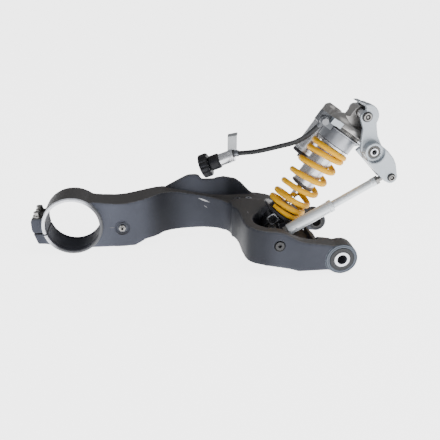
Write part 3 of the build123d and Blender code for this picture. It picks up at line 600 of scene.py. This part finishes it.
# Painted light on the hub's machined face: bright at its upper left, dark at its lower right, as light falls
# there.
HUB_PAINTED_LIGHT = [(-0.50, 1.0), (-0.445, 0.85), (-0.412, 0.13), (-0.35, 0.11)]
HUB_FACE = material("hub_face", (0.80, 0.81, 0.86), 0.45, 0.1, (0.68, 0.70, 0.76), 0.5, 40.0, 0.1,
                    specular=0.2, painted_shade=((0.75, 0, -0.66), -0.50, -0.35, HUB_PAINTED_LIGHT))
ARM_SURFACES = [CAST_ARM, HUB_FACE, BORE, LUG_FACE, GREY_ALLOY]


def hub_cutter():
    """Turns the hub's bore with its grooves, both its faces and the steps outside them."""
    near, far, bore = HUB_NEAR, HUB_FAR, HUB_BORE_R
    profile = [(0, near - HUB_OVERRUN), (HUB_CLEAR_R, near - HUB_OVERRUN)]
    profile += [(HUB_CLEAR_R, near + HUB_STEP_NEAR), (HUB_R + 0.4, near + HUB_STEP_NEAR)]
    profile += [(HUB_R, near + 2), (HUB_R - 1.4, near), (bore + 1.6, near), (bore, near + 1.6)]
    for start, end, depth in ((near + 10, near + 13.6, 1.5), (far - 12, far - 8, 1.8)):
        profile += [(bore, start), (bore + depth, start + 0.6), (bore + depth, end - 0.6), (bore, end)]
    profile += [(bore, far - 1.6), (bore + 1.6, far), (HUB_R - 1, far), (HUB_R, far - 1)]
    profile += [(HUB_R, far - HUB_STEP_FAR), (HUB_CLEAR_R, far - HUB_STEP_FAR)]
    profile += [(HUB_CLEAR_R, far + HUB_OVERRUN), (0, far + HUB_OVERRUN)]
    return lathe("hub", profile, across(HUB_X, HUB_Z), 160)


def lug_cutters():
    """Turn the pivot lugs' bores and faces. The near face has two ring grooves, with depths from it."""
    bore = NEAR_LUG_BORE_R
    line = [(0, -LUG_OVERRUN), (46, -LUG_OVERRUN), (46, 0), (33.4, 0), (33, 1.8), (32.4, 1.8), (31.6, 0)]
    line += [(29.2, 0), (28.8, 0.7), (28.2, 0.7), (27.8, 0), (bore + 0.9, 0), (bore, 0.9)]
    line += [(bore, 53), (0, 53)]
    near = lathe("near_lug", [(radius, PIVOT_NEAR + depth) for radius, depth in line], across(0, 0), 128)
    return [near, eye_cutter(FAR_LUG_BORE_R, FAR_LUG_IN, PIVOT_FAR, across(0, 0), 96, 19.0, LUG_OVERRUN)]


def hole_cutters():
    """Recesses, bolt holes, faced seats and the clamp's slot."""
    foot = across(FOOT_X, FOOT_Z)
    stud = across(STUD_X, STUD_Z)
    recess = [(0, BOX_FACE - 8), (12.5, BOX_FACE - 8), (12.5, BOX_FACE - 0.8), (RECESS_R, BOX_FACE + 1.6)]
    recess += [(RECESS_R, RECESS_FLOOR), (0, RECESS_FLOOR)]
    dish = [(0, -7), (17, -7), (17, -0.2), (15.2, 0.9), (13.9, 2.2), (12.9, 3), (0, 3)]
    found = [
        lathe("recess", recess, foot, 64),
        rod_of(FOOT_HOLE_R, BOX_FACE - 8, 44, foot),
        lathe("dish", [(radius, ARM_FACE + depth) for radius, depth in dish], stud, 72),
        rod_of(STUD_HOLE_R, ARM_FACE - 5, ARM_FACE + 30, stud, 32),
    ]
    drilled = [((PINCH_X, y), PINCH_FACING, PINCH_HOLE) for y in PINCH_YS]
    drilled += [((x, CHAIN_LUG_Y), CHAIN_FACING, CHAIN_HOLE) for x in CHAIN_LUGS]
    drilled += [(spot, DECK_FACING, DECK_HOLE) for spot in DECK_BOSSES]
    for spot, facing, hole in drilled:
        found += [rod_of(*facing, upright(*spot)), rod_of(*hole, upright(*spot), 32)]
    inner = HUB_X - 20
    slot = [(SLOT_END, SLOT_LOW), (inner, SLOT_LOW), (inner, SLOT_HIGH), (SLOT_END, SLOT_HIGH)]
    found.append(slab("slot", slot, HUB_NEAR - 5, HUB_FAR + 5, ROW @ SIDEWAYS, 0))
    return found


def arm_surface(x, y, z):
    """The material of a face of the arm with its middle there, in millimetres."""
    for boss_x, boss_y in DECK_BOSSES:
        if 3.0 < Vector((x - boss_x, y - boss_y)).length < 7.4 and z > DECK_TOP - 2.5:
            return GREY_ALLOY
    from_hub = Vector((x - HUB_X, 0, z - HUB_Z)).length
    if from_hub < HUB_BORE_R + 2.0 and HUB_NEAR + 1.8 < y < HUB_FAR - 1.8:
        return BORE
    if from_hub < HUB_R + 0.3 and y < HUB_NEAR + 5:
        return HUB_FACE
    if Vector((x, 0, z)).length < 34 and y < PIVOT_NEAR + 2:
        return LUG_FACE
    return CAST_ARM


def make_swingarm():
    """The casting, with stock left on every machined face, fused, rounded and then machined."""
    stock = [
        source("swingarm_casting"),
        rod_of(60, HUB_NEAR - 1.5, HUB_FAR + 1.5, across(HUB_X, HUB_Z)),
        rod_of(HUB_R, HUB_NEAR + 1, HUB_FAR - 1, across(HUB_X, HUB_Z), 128),
        rod_of(31, PIVOT_NEAR - 1.5, -76, across(0, 0)),
        rod_of(20, FAR_LUG_IN - 1.5, PIVOT_FAR + 1.5, across(0, 0)),
        rod_of(13, BOX_FACE, -95, across(FOOT_X, FOOT_Z)),
        rod_of(15, ARM_FACE + 0.5, 70, across(STUD_X, STUD_Z)),
    ]
    stock += [rod_of(7.5, DECK_TOP - 14, DECK_TOP + 1.5, upright(x, y)) for x, y in DECK_BOSSES]
    stock += [rod_of(10.5, FLOOR - 1.5, 0, upright(x, CHAIN_LUG_Y)) for x in CHAIN_LUGS]
    blank = cast_blank("swingarm_blank", stock, 2.2, 9)
    mesh = machine(blank, [hub_cutter(), *lug_cutters(), *hole_cutters()])
    for face in mesh.polygons:
        face.material_index = ARM_SURFACES.index(arm_surface(*(face.center / MM)))
    piece("swingarm_skin", mesh, "swingarm", "cast_arm", ["swingarm_casting"], ARM_SURFACES)


make_swingarm()


# ---- coil spring -------------------------------------------------------------------------------
SPRING_R, WIRE_R = 34.5, 5.5
SPRING_START = radians(215)
SPRING_SEAT, SPRING_TOP = 40.0, 204.0
# Each station is a number of turns, with the height of the wire's middle there.
SPRING_STATIONS = [(0.0, 45.6), (0.15, 45.9), (1.15, 59.5), (2.15, 77.0), (3.15, 103.0), (4.15, 131.0)]
SPRING_STATIONS += [(5.15, 159.0), (6.15, 185.5), (7.15, 198.0), (7.5, 198.4)]
SPRING_TURNS = SPRING_STATIONS[-1][0]
SPRING_STEPS, TAPER_STEPS, TAPER = 460, 10, 0.28


def spring_height(turn):
    """Height of the wire after some turns, eased through the stations."""
    for (t0, h0), (t1, h1) in zip(SPRING_STATIONS, SPRING_STATIONS[1:]):
        if turn <= t1:
            break
    i = SPRING_STATIONS.index((t0, h0))
    step = (h1 - h0) / (t1 - t0)
    left, right = step, step
    if i > 0:
        before = SPRING_STATIONS[i - 1]
        left = ((h0 - before[1]) / (t0 - before[0]) + step) / 2
    if i + 2 < len(SPRING_STATIONS):
        after = SPRING_STATIONS[i + 2]
        right = ((after[1] - h1) / (after[0] - t1) + step) / 2
    k = (turn - t0) / (t1 - t0)
    span = t1 - t0
    return ((2 * k ** 3 - 3 * k ** 2 + 1) * h0 + (k ** 3 - 2 * k ** 2 + k) * span * left
            + (3 * k ** 2 - 2 * k ** 3) * h1 + (k ** 3 - k ** 2) * span * right)


def make_spring():
    points, radii = [], []
    for i in range(SPRING_STEPS + 1):
        turn = SPRING_TURNS * i / SPRING_STEPS
        a = SPRING_START + 2 * pi * turn
        points.append(SHOCK @ Vector((SPRING_R * cos(a), SPRING_R * sin(a), spring_height(turn))))
        end = min(i, SPRING_STEPS - i)
        radii.append(WIRE_R * MM * min(1.0, 1 - TAPER + TAPER * end / TAPER_STEPS))
    made = piece("coil_spring_wire", tube("coil_spring", points, radii, 22), "shock_lower",
                 "spring_paint", ["coil_spring"])
    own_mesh(made)


make_spring()


# ---- shock absorber ----------------------------------------------------------------------------
# Heights are along the shock, from the middle of its foot.
HEAD_XZ = (HEAD.x / MM, HEAD.z / MM)
SHOCK_Y = FOOT.y / MM
EYE_FACE, FOOT_BORE_R, HEAD_BORE_R, ROD_R = 15.0, 11.0, 9.0, 7.5
TUBE_LOW, TUBE_HIGH, TUBE_R = 112.0, 238.0, 22.5
CYLINDER_LOW, CYLINDER_HIGH, CYLINDER_R = 210.0, 238.0, 36.0
PISTON_LOW, PISTON_HIGH, PISTON_R = 204.0, 226.0, 33.3
RIBS_LOW, RIBS_HIGH, RIBS_R = 238.2, 244.9, 35.4
HEAD_LOW, HEAD_FLOOR, LOBE_TOP = 225.0, 247.0, 262.0
RESERVOIR = SHOCK @ Matrix.Translation((-17.5, 62.0, 0))
RESERVOIR_R, RESERVOIR_CAP, RESERVOIR_LOW = 20.0, 158.0, 151.0
KNOB_LOW, KNOB_HIGH, KNOB_R = 262.5, 269.3, 8.0


def add_turned(name, profile, matrix, ease, steps, body, slot, nodes=(), materials=None):
    """A turned piece, with its profile's corners rounded to ease."""
    return piece(name, turned(name, profile, matrix, ease, steps), body, slot, nodes, materials)


def make_shock_lower():
    eye = across(FOOT_X, FOOT_Z, SHOCK_Y)
    clevis = cast_blank("clevis_blank", [source("lower_clevis"), rod_of(12, -14, 14, eye)], 0.9, 5)
    mesh = machine(clevis, [eye_cutter(FOOT_BORE_R, -EYE_FACE, EYE_FACE, eye)])
    piece("lower_clevis_forging", mesh, "shock_lower", "black_alloy", ["lower_clevis"])
    seat = [(ROD_R, 33), (36, 33), (40.5, 35.5), (40.5, 39.5), (39.5, SPRING_SEAT), (29, SPRING_SEAT)]
    seat += [(28, 41.5), (28, 47), (24, 47), (24, 40.5), (ROD_R, SPRING_SEAT)]
    add_turned("lower_seat_turned", seat, SHOCK, 0.6, 96, "shock_lower", "black_alloy", ["lower_spring_seat"])
    stop = [(ROD_R, 50), (11.5, 50), (13.2, 52), (14, 54.5), (12.6, 55.2), (14, 56.2), (13, 59.6)]
    stop += [(ROD_R, 59.6)]
    add_turned("bump_stop_turned", stop, SHOCK, 0.8, 64, "shock_lower", "foam", ["bump_stop"])


def make_rebound_knob():
    """The screw in the foot's end, and the square plate round it."""
    centre = Vector(JOINTS["rebound_knob_turn"]["pos_m"])
    near, far = [corner[1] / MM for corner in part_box("rebound_knob")]
    knob_at = across(centre.x / MM, centre.z / MM)
    tilt = Matrix.Rotation(radians(-35), 4, "Y")
    plate_at = Matrix.Translation(Vector((centre.x, 0, centre.z))) @ tilt @ ROW @ SIDEWAYS
    outline = soften([(-10, -10), (10, -10), (10, 10), (-10, 10)], 3.5, 5)
    blank = linked("plate_blank", slab("rebound_plate", outline, near + 1.2, near + 3.2, plate_at, 0.5))
    holed = machine(blank, [rod_of(8.7, near - 2, near + 6, knob_at, 48)])
    piece("rebound_plate", holed, "shock_lower", "machined")
    rim = [(0, near + 3.5), (4.4, near + 3.5), (4.8, near + 0.4), (7.4, near), (8.5, near + 1)]
    rim += [(8.5, far), (0, far)]
    add_turned("rebound_knob_turned", rim, knob_at, 0.4, 48, "rebound_adjuster", "black_alloy",
               ["rebound_knob"])


def make_preload_cylinder():
    low, high, radius = CYLINDER_LOW, CYLINDER_HIGH, CYLINDER_R
    line = [(33.6, low), (radius - 0.4, low), (radius, low + 0.8), (radius, high - 4.4)]
    line += [(radius - 0.6, high - 3.8), (radius - 0.6, high - 3), (radius, high - 2.4)]
    line += [(radius, high - 0.8), (radius - 1, high), (TUBE_R, high), (TUBE_R, high - 5), (33.6, high - 5)]
    add_turned("preload_cylinder_turned", line, SHOCK, 0.35, 128, "shock_body", "grey_alloy",
               ["preload_cylinder"])
    for label, low, high, radius in (("wiper_seal", 208.9, 210.6, 36.1), ("lock_ring", 236.6, 238.6, 36.2)):
        line = [(34, low), (radius - 0.4, low), (radius, low + 0.4), (radius, high - 0.4)]
        line += [(radius - 0.4, high), (34, high)]
        add_turned(label, line, SHOCK, 0.3, 128, "shock_body", "rubber", (), [BLACK_ALLOY])


def make_shock_body():
    make_preload_cylinder()
    ribs = ribbed("ribbed_ring", SHOCK, RIBS_R, TUBE_R, RIBS_LOW, RIBS_HIGH, 60, 1.7)
    piece("ribbed_ring_turned", ribs, "shock_body", "grey_alloy", ["ribbed_ring"], [STEEL])
    wall = [(19, TUBE_LOW), (TUBE_R - 1, TUBE_LOW), (TUBE_R, TUBE_LOW + 1), (TUBE_R, 150)]
    wall += [(TUBE_R, TUBE_HIGH), (19, TUBE_HIGH)]
    add_turned("damper_tube_turned", wall, SHOCK, 0.4, 96, "shock_body", "machined", ["damper_tube"])
    gland = [(7.6, 106), (20, 106), (23.5, 107.5), (23.5, 111.2), (TUBE_R, TUBE_LOW), (18.9, TUBE_LOW)]
    gland += [(18.9, 122), (7.6, 122)]
    add_turned("gland_turned", gland, SHOCK, 0.5, 96, "shock_body", "dark_cast", ["gland"])
    piston = [(22.9, PISTON_LOW), (PISTON_R - 0.7, PISTON_LOW), (PISTON_R, PISTON_LOW + 0.7)]
    piston += [(PISTON_R, 208.2), (PISTON_R - 0.1, 208.8), (PISTON_R - 0.1, PISTON_HIGH), (22.9, PISTON_HIGH)]
    add_turned("preload_piston_turned", piston, SHOCK, 0.4, 128, "spring_preload", "machined",
               ["preload_piston"])


def make_head():
    """Dome, upper eye and the lobe over the reservoir."""
    eye = across(*HEAD_XZ, SHOCK_Y)
    stock = [
        source("head_casting"),
        rod_of(12, -14, 14, eye),
        rod_of(20.5, 248, LOBE_TOP, RESERVOIR),
        rod_of(16, LOBE_TOP, 268.5, RESERVOIR),
    ]
    cuts = [
        eye_cutter(HEAD_BORE_R, -EYE_FACE, EYE_FACE, eye),
        rod_of(TUBE_R, HEAD_LOW, HEAD_FLOOR, SHOCK, 96),
        rod_of(RESERVOIR_R, HEAD_LOW, HEAD_FLOOR, RESERVOIR, 96),
        rod_of(9, LOBE_TOP, 280, RESERVOIR),
    ]
    mesh = machine(cast_blank("head_blank", stock, 1.1, 12), cuts)
    piece("head_casting_skin", mesh, "shock_body", "dome_alloy", ["head_casting"])


def make_reservoir():
    low, radius = RESERVOIR_CAP, RESERVOIR_R
    line = [(17, low), (radius - 0.8, low), (radius, low + 0.8), (radius, low + 5), (radius - 0.6, low + 5.6)]
    line += [(radius - 0.6, low + 7), (radius, low + 7.6), (radius, HEAD_FLOOR), (17, HEAD_FLOOR)]
    add_turned("reservoir_tube_turned", line, RESERVOIR, 0.35, 96, "shock_body", "machined",
               ["reservoir_tube"])
    end = RESERVOIR_LOW
    cap = [(0, end), (6, end), (6.5, end + 1.5), (9, end + 1.5), (9.5, end), (18.5, end)]
    cap += [(radius, end + 1.5), (radius, low), (0, low)]
    add_turned("reservoir_cap_turned", cap, RESERVOIR, 0.4, 96, "shock_body", "black_alloy",
               ["reservoir_cap"])
    knob = ribbed("compression_knob", RESERVOIR, KNOB_R, 0.4, KNOB_LOW, KNOB_HIGH, 16, 0.8)
    piece("compression_knob_ribbed", knob, "compression_adjuster", "black_alloy", ["compression_knob"])


def make_inlet():
    """The hose's block, fitting and clip, each with its voxel size and its rounding passes."""
    castings = (("inlet_block", 1.0, 7), ("banjo_fitting", 0.6, 3), ("retainer_clip", 0.5, 2))
    for node, voxel, passes in castings:
        label = f"{node}_cast"
        mesh = machine(cast_blank(label, [source(node)], voxel, passes), [], 40)
        piece(label, mesh, "shock_body", SLOT_OF[node], [node])


make_shock_lower()
make_rebound_knob()
make_shock_body()
make_head()
make_reservoir()
make_inlet()


# ---- tie rod -----------------------------------------------------------------------------------
TIE_LOW, TIE_STEP, TIE_HIGH = 28.0, 126.0, 222.0
THICK_R, COLLAR_R, THIN_R, END_R, THREAD_R = 11.5, 12.4, 7.8, 8.6, 5.4
CROSS_HOLE_AT, CROSS_HOLE_R = 44.0, 2.0


def make_tie_rod():
    thick = [(THREAD_R, TIE_LOW), (10.3, TIE_LOW), (THICK_R, TIE_LOW + 1.2), (THICK_R, TIE_STEP - 7)]
    thick += [(COLLAR_R, TIE_STEP - 6.2), (COLLAR_R, TIE_STEP + 1), (COLLAR_R - 1, TIE_STEP + 2)]
    thick += [(THREAD_R, TIE_STEP + 2)]
    blank = linked("tie_blank", turned("tie_rod_tube", thick, ROD, 0.5, 72))
    hole_at = ROD @ Matrix.Translation((0, 0, CROSS_HOLE_AT)) @ Matrix.Rotation(-pi / 2, 4, "X")
    mesh = machine(blank, [rod_of(CROSS_HOLE_R, -20, -9, hole_at, 24)])
    piece("tie_rod_tube_turned", mesh, "tie_rod", "bright_alloy", ["tie_rod_tube"], [ROD_ALLOY])
    thin = [(0, 90), (5.35, 90), (5.35, TIE_STEP + 2), (6.8, TIE_STEP + 2), (THIN_R, TIE_STEP + 3.4)]
    thin += [(THIN_R, TIE_HIGH - 10), (END_R, TIE_HIGH - 9), (END_R, TIE_HIGH - 1), (THIN_R, TIE_HIGH)]
    thin += [(THREAD_R, TIE_HIGH), (THREAD_R, TIE_HIGH - 20), (0, TIE_HIGH - 20)]
    add_turned("tie_rod_shaft_turned", thin, ROD, 0.4, 64, "tie_rod", "bright_alloy", ["tie_rod_shaft"],
               [ROD_ALLOY])


make_tie_rod()


# ---- rocker ------------------------------------------------------------------------------------
ROCKER, LINK = middle("rocker_sleeve") / MM, middle("upper_ball") / MM
BOSS_NEAR, BOSS_FAR, BOSS_CLEAR_R, BEARING_DEPTH, BEARING_R, SLEEVE_R = -82.0, 42.0, 19.0, 16.0, 12.0, 8.6
# Each bolt is its place in the row's X and Z, the radii of its head and shank, and where along Y
# its head seats and its shank ends.
ROCKER_BOLTS = ((HEAD_XZ, 10.0, 6.0, -65.0, 17.5), ((LINK.x, LINK.z), 8.0, 4.0, -89.0, -44.0))


def make_rocker():
    near, far, clear = BOSS_NEAR, BOSS_FAR, BOSS_CLEAR_R
    inner_near, inner_far = near + BEARING_DEPTH, far - BEARING_DEPTH
    line = [(0, near - 30), (clear, near - 30), (clear, near), (BEARING_R + 1.4, near)]
    line += [(BEARING_R, near + 1.4)]
    line += [(BEARING_R, inner_near), (SLEEVE_R, inner_near), (SLEEVE_R, inner_far), (BEARING_R, inner_far)]
    line += [(BEARING_R, far - 1), (BEARING_R + 1, far), (clear, far), (clear, far + 30), (0, far + 30)]
    blank = cast_blank("rocker_blank", [source("rocker_casting")], 1.3, 7)
    mesh = machine(blank, [lathe("boss", line, across(ROCKER.x, ROCKER.z), 96)])
    piece("rocker_forging", mesh, "rocker", "bright_alloy", ["rocker_casting"])


def make_rocker_bolts():
    """Flanged bolts with a ring groove in the head and a dimple in its middle."""
    heads = []
    for (x, z), head, shank, seat, end in ROCKER_BOLTS:
        line = [(0, seat - 3.6), (0.22 * head, seat - 3.6), (0.26 * head, seat - 1.8)]
        line += [(0.42 * head, seat - 1.8), (0.46 * head, seat - 4.6), (0.5 * head, seat - 5)]
        line += [(0.72 * head, seat - 5), (0.78 * head, seat - 4.4), (0.8 * head, seat - 2)]
        line += [(0.98 * head, seat - 1.8), (head, seat - 1.3), (head, seat), (shank, seat)]
        line += [(shank, end), (0, end)]
        heads.append(lathe("bolt", line, across(x, z), 64))
    mesh = joined("rocker_bolts_turned", heads)
    for face in mesh.polygons:
        x, _, z = face.center / MM
        for (bolt_x, bolt_z), head, *_ in ROCKER_BOLTS:
            share = Vector((x - bolt_x, z - bolt_z)).length / head
            if 0.26 < share < 0.46 or 0.79 < share < 1.01:
                face.material_index = 1
    piece("rocker_bolts_turned", mesh, "rocker", "steel", ["rocker_bolts"], [STEEL, DARK_STEEL_AND_SHADE])


make_rocker()
make_rocker_bolts()


# ---- preload adjuster --------------------------------------------------------------------------
FERRULE = material("ferrule", (0.17, 0.18, 0.195), 0.32, 0.8, (0.12, 0.125, 0.14), 0.5, 60.0, 0.1)
TAB_METAL = material("tab_sheet", (0.33, 0.34, 0.35), 0.40, 0.6, (0.27, 0.28, 0.29), 0.6, 30.0, 0.1)
KNOB_LOBES, STEPS_PER_LOBE, GROOVE_DEPTH = 14, 12, 2.4
# Each level of the knob is its height, its radius and how much of the grooves' depth it has.
KNOB_LEVELS = [(-10, 15.0, 0.0), (-10, 22.0, 0.5), (-9, 24.6, 1.0), (-7, 26.0, 1.0), (7, 26.0, 1.0)]
KNOB_LEVELS += [(9.2, 24.4, 1.0), (10, 22.0, 0.6), (10, 14.0, 0.0)]
BODY_LOW, BODY_HIGH, BODY_R = 10.3, 34.0, 16.5
BARREL_LOW, BARREL_HIGH, BARREL_R = 34.2, 66.0, 13.5
TAB_X, TAB_Y, TAB_Z = -191.0, 94.0, 201.0
TAB_TURN, TAB_SLOPE = radians(-12.8), radians(10.5)
TAB_SHEET, TAB_DEPTH, TAB_BEND, BEND_STEPS, TAB_HOLE_R = 2.5, 17.0, 3.2, 7, 3.0


def make_knob():
    """Hand wheel: lobes round the rim, each with a shallow groove, and a raised centre."""
    steps = KNOB_LOBES * STEPS_PER_LOBE
    waves = [max(0.0, cos(KNOB_LOBES * (2 * pi * i / steps))) ** 1.6 for i in range(steps)]
    shape = bmesh.new()
    rings = []
    for height, radius, share in KNOB_LEVELS:
        rings.append(ring(shape, [radius - GROOVE_DEPTH * share * wave for wave in waves], height))
    bridge(shape, rings)
    close_ends(shape, rings)
    bmesh.ops.transform(shape, matrix=ADJUSTER, verts=shape.verts)
    mesh = finish_mesh(shape, "adjuster_knob", 45)
    return piece("adjuster_knob_moulded", mesh, "preload_knob", "black_alloy", ["adjuster_knob"],
                 [BLACK_PLASTIC])


def make_adjuster_body():
    line = [(0, BODY_LOW), (13.5, BODY_LOW), (13.8, 11.5), (BODY_R, 12.5), (BODY_R, 31), (15.2, 33.4)]
    line += [(13, BODY_HIGH), (0, BODY_HIGH)]
    return add_turned("adjuster_body_moulded", line, ADJUSTER, 1.2, 96, "preload_adjuster", "black_plastic",
                      ["adjuster_body"])


def make_barrel():
    """Oil cylinder with two ring grooves, and the hose fitting behind it."""
    low, high, radius = BARREL_LOW, BARREL_HIGH, BARREL_R
    line = [(0, low), (radius - 0.7, low), (radius, low + 0.6)]
    for start in (57.0, 60.4):
        line += [(radius, start), (radius - 0.6, start + 0.6), (radius - 0.6, start + 1.6)]
        line += [(radius, start + 2.2)]
    line += [(radius, high - 1), (radius - 0.9, high), (0, high)]
    ferrule_at = frame_at(hose_points[-1], hose_points[-1] - hose_points[-2])
    skirt = [(0, 0.3), (6.4, 0.3), (7, 1), (7, 12), (0, 12)]
    collar = [(0, 9.6), (8.6, 9.6), (8.6, 14), (0, 14)]
    body, slot = "preload_adjuster", "machined"
    return [
        add_turned("adjuster_barrel_turned", line, ADJUSTER, 0.4, 80, body, slot, ["adjuster_barrel"]),
        add_turned("hose_ferrule", skirt, ferrule_at, 0.4, 48, body, slot, (), [FERRULE]),
        add_turned("hose_collar", collar, ferrule_at, 0.4, 48, body, slot, (), [BLACK_ALLOY]),
    ]


def make_tab():
    """Sheet bracket: up from the barrel, then bent away, with a sloping end and a screw hole."""
    foot = Matrix.Translation(Vector((TAB_X, TAB_Y, 0)) * MM) @ Matrix.Rotation(TAB_TURN, 4, "Z")
    foot = foot @ Matrix.Scale(MM, 4)
    run = [(0, 158), (0, 170), (0, 182), (0, 193)]
    for i in range(BEND_STEPS + 1):
        a = pi - (pi / 2) * i / BEND_STEPS
        run.append((TAB_BEND + TAB_BEND * cos(a), TAB_Z - TAB_BEND + TAB_BEND * sin(a)))
    run += [(9, TAB_Z), (13, TAB_Z), (15.6, TAB_Z), (TAB_DEPTH, TAB_Z)]
    columns = [-10, -9.2, -5, 0, 5, 9.2, 10]
    shape = bmesh.new()
    rows = []
    for k, (y, z) in enumerate(run):
        narrow = 0.84 if k == len(run) - 1 else 1.0
        row = []
        for x in columns:
            lift = x * tan(TAB_SLOPE) * min(1.0, max(0.0, (z - 182) / 15))
            row.append(shape.verts.new((x * narrow, y, z + lift)))
        rows.append(row)
    for one, two in zip(rows, rows[1:]):
        for i in range(len(columns) - 1):
            shape.faces.new((one[i], one[i + 1], two[i + 1], two[i]))
    bmesh.ops.recalc_face_normals(shape, faces=shape.faces)
    bmesh.ops.solidify(shape, geom=shape.faces[:], thickness=TAB_SHEET)
    bmesh.ops.transform(shape, matrix=foot, verts=shape.verts)
    blank = linked("tab_blank", finish_mesh(shape, "tab", 40))
    hole_at = foot @ Matrix.Translation((0, 9.5, TAB_Z)) @ Matrix.Rotation(-TAB_SLOPE, 4, "Y")
    mesh = machine(blank, [rod_of(TAB_HOLE_R, -9, 9, hole_at, 32)])
    return piece("adjuster_tab", mesh, "preload_adjuster", "machined", (), [TAB_METAL])


knob = make_knob()
adjuster_body = make_adjuster_body()
barrel_pieces = [*make_barrel(), make_tab()]


# ---- the CAD nodes that stay -------------------------------------------------------------------
# The foot bolt and the far pivot sleeve are made dark as painted shade: the bolt sits down in its recess, the
# sleeve inside the far lug.
RESURFACED = {
    "foot_bolt": DARK_STEEL_AND_SHADE,
    "guide_washer": CAST_ARM,
    "far_pivot_sleeve": DARK_STEEL_AND_SHADE,
    "banjo_bolt": DARK_CAST,
}
EDGE_EASE, WELD_DISTANCE = 0.35 * MM, 0.001 * MM
SLEEVE_BORE_R = 10.2 * MM


def darken_bore(node, radius):
    """Used, unlit metal on the wall of a hole along the row's Y through the origin."""
    node.data.materials.append(BORE)
    for face in node.data.polygons:
        spot = node.matrix_world @ face.center
        if Vector((spot.x, spot.z)).length < radius:
            face.material_index = 1


def dress_nodes():
    """A surface for every CAD node, and eased edges for those that still show."""
    for name, node in frame["nodes"].items():
        node.data.materials.clear()
        node.data.materials.append(RESURFACED.get(name, SLOTS[SLOT_OF[name]]))
        if node.hide_render:
            continue
        weld = node.modifiers.new("weld", "WELD")
        weld.merge_threshold = WELD_DISTANCE
        ease = node.modifiers.new("ease", "BEVEL")
        ease.width = EDGE_EASE
        ease.segments = 2
        ease.limit_method = "ANGLE"
        ease.angle_limit = radians(38)
        ease.harden_normals = False
    darken_bore(frame["nodes"]["near_pivot_sleeve"], SLEEVE_BORE_R)


dress_nodes()


# ---- floor and light ---------------------------------------------------------------------------
FLOOR_HALF, FLOOR_BACK, FLOOR_GAP = 30.0, 3.0, 0.0005
OBJECT_MIDDLE = (-0.2, 0, 0.1)


def make_floor():
    """A pale floor that glows enough to be the background too."""
    shape = bmesh.new()
    bmesh.ops.create_grid(shape, x_segments=2, y_segments=2, size=FLOOR_HALF)
    bmesh.ops.translate(shape, verts=shape.verts, vec=(0, FLOOR_BACK, FLOOR * MM - FLOOR_GAP))
    mesh = mesh_from(shape, "floor")
    mesh.materials.append(plain("pale_floor", (0.92, 0.92, 0.92), 0.9, 3.6))
    linked("floor", mesh)


def make_card(name, corners, low, high):
    """A dark card out of view that keeps one side's light off the metal."""
    (x0, y0), (x1, y1) = corners
    shape = bmesh.new()
    spots = [(x0, y0, low), (x1, y1, low), (x1, y1, high), (x0, y0, high)]
    shape.faces.new([shape.verts.new(spot) for spot in spots])
    mesh = mesh_from(shape, name)
    mesh.materials.append(plain(name, (0.14, 0.14, 0.145), 1.0))
    linked(name, mesh)


def area_light(name, place, target, size, power, colour=(1, 1, 1)):
    data = bpy.data.lights.new(name, "AREA")
    data.shape = "RECTANGLE"
    data.size, data.size_y = size
    data.energy = power
    data.color = colour
    lamp = linked(name, data)
    lamp.location = place
    lamp.rotation_euler = (Vector(target) - Vector(place)).to_track_quat("-Z", "Y").to_euler()


def make_light():
    world = bpy.data.worlds.new("studio")
    world.use_nodes = True
    back = world.node_tree.nodes["Background"]
    back.inputs["Color"].default_value = (0.97, 0.98, 1.0, 1)
    back.inputs["Strength"].default_value = 0.42
    bpy.context.scene.world = world
    area_light("front", (-0.9, -2.4, 1.1), OBJECT_MIDDLE, (1.8, 1.4), 12, (0.95, 0.97, 1.0))
    area_light("high", (0.3, -0.3, 2.4), OBJECT_MIDDLE, (1.6, 1.6), 12)
    area_light("side", (2.2, -0.9, 0.9), (0, 0, 0.1), (1.0, 1.2), 20)


make_floor()
make_card("left_card", ((-1.0, -1.5), (-1.45, 0.25)), -0.03, 1.3)
make_light()
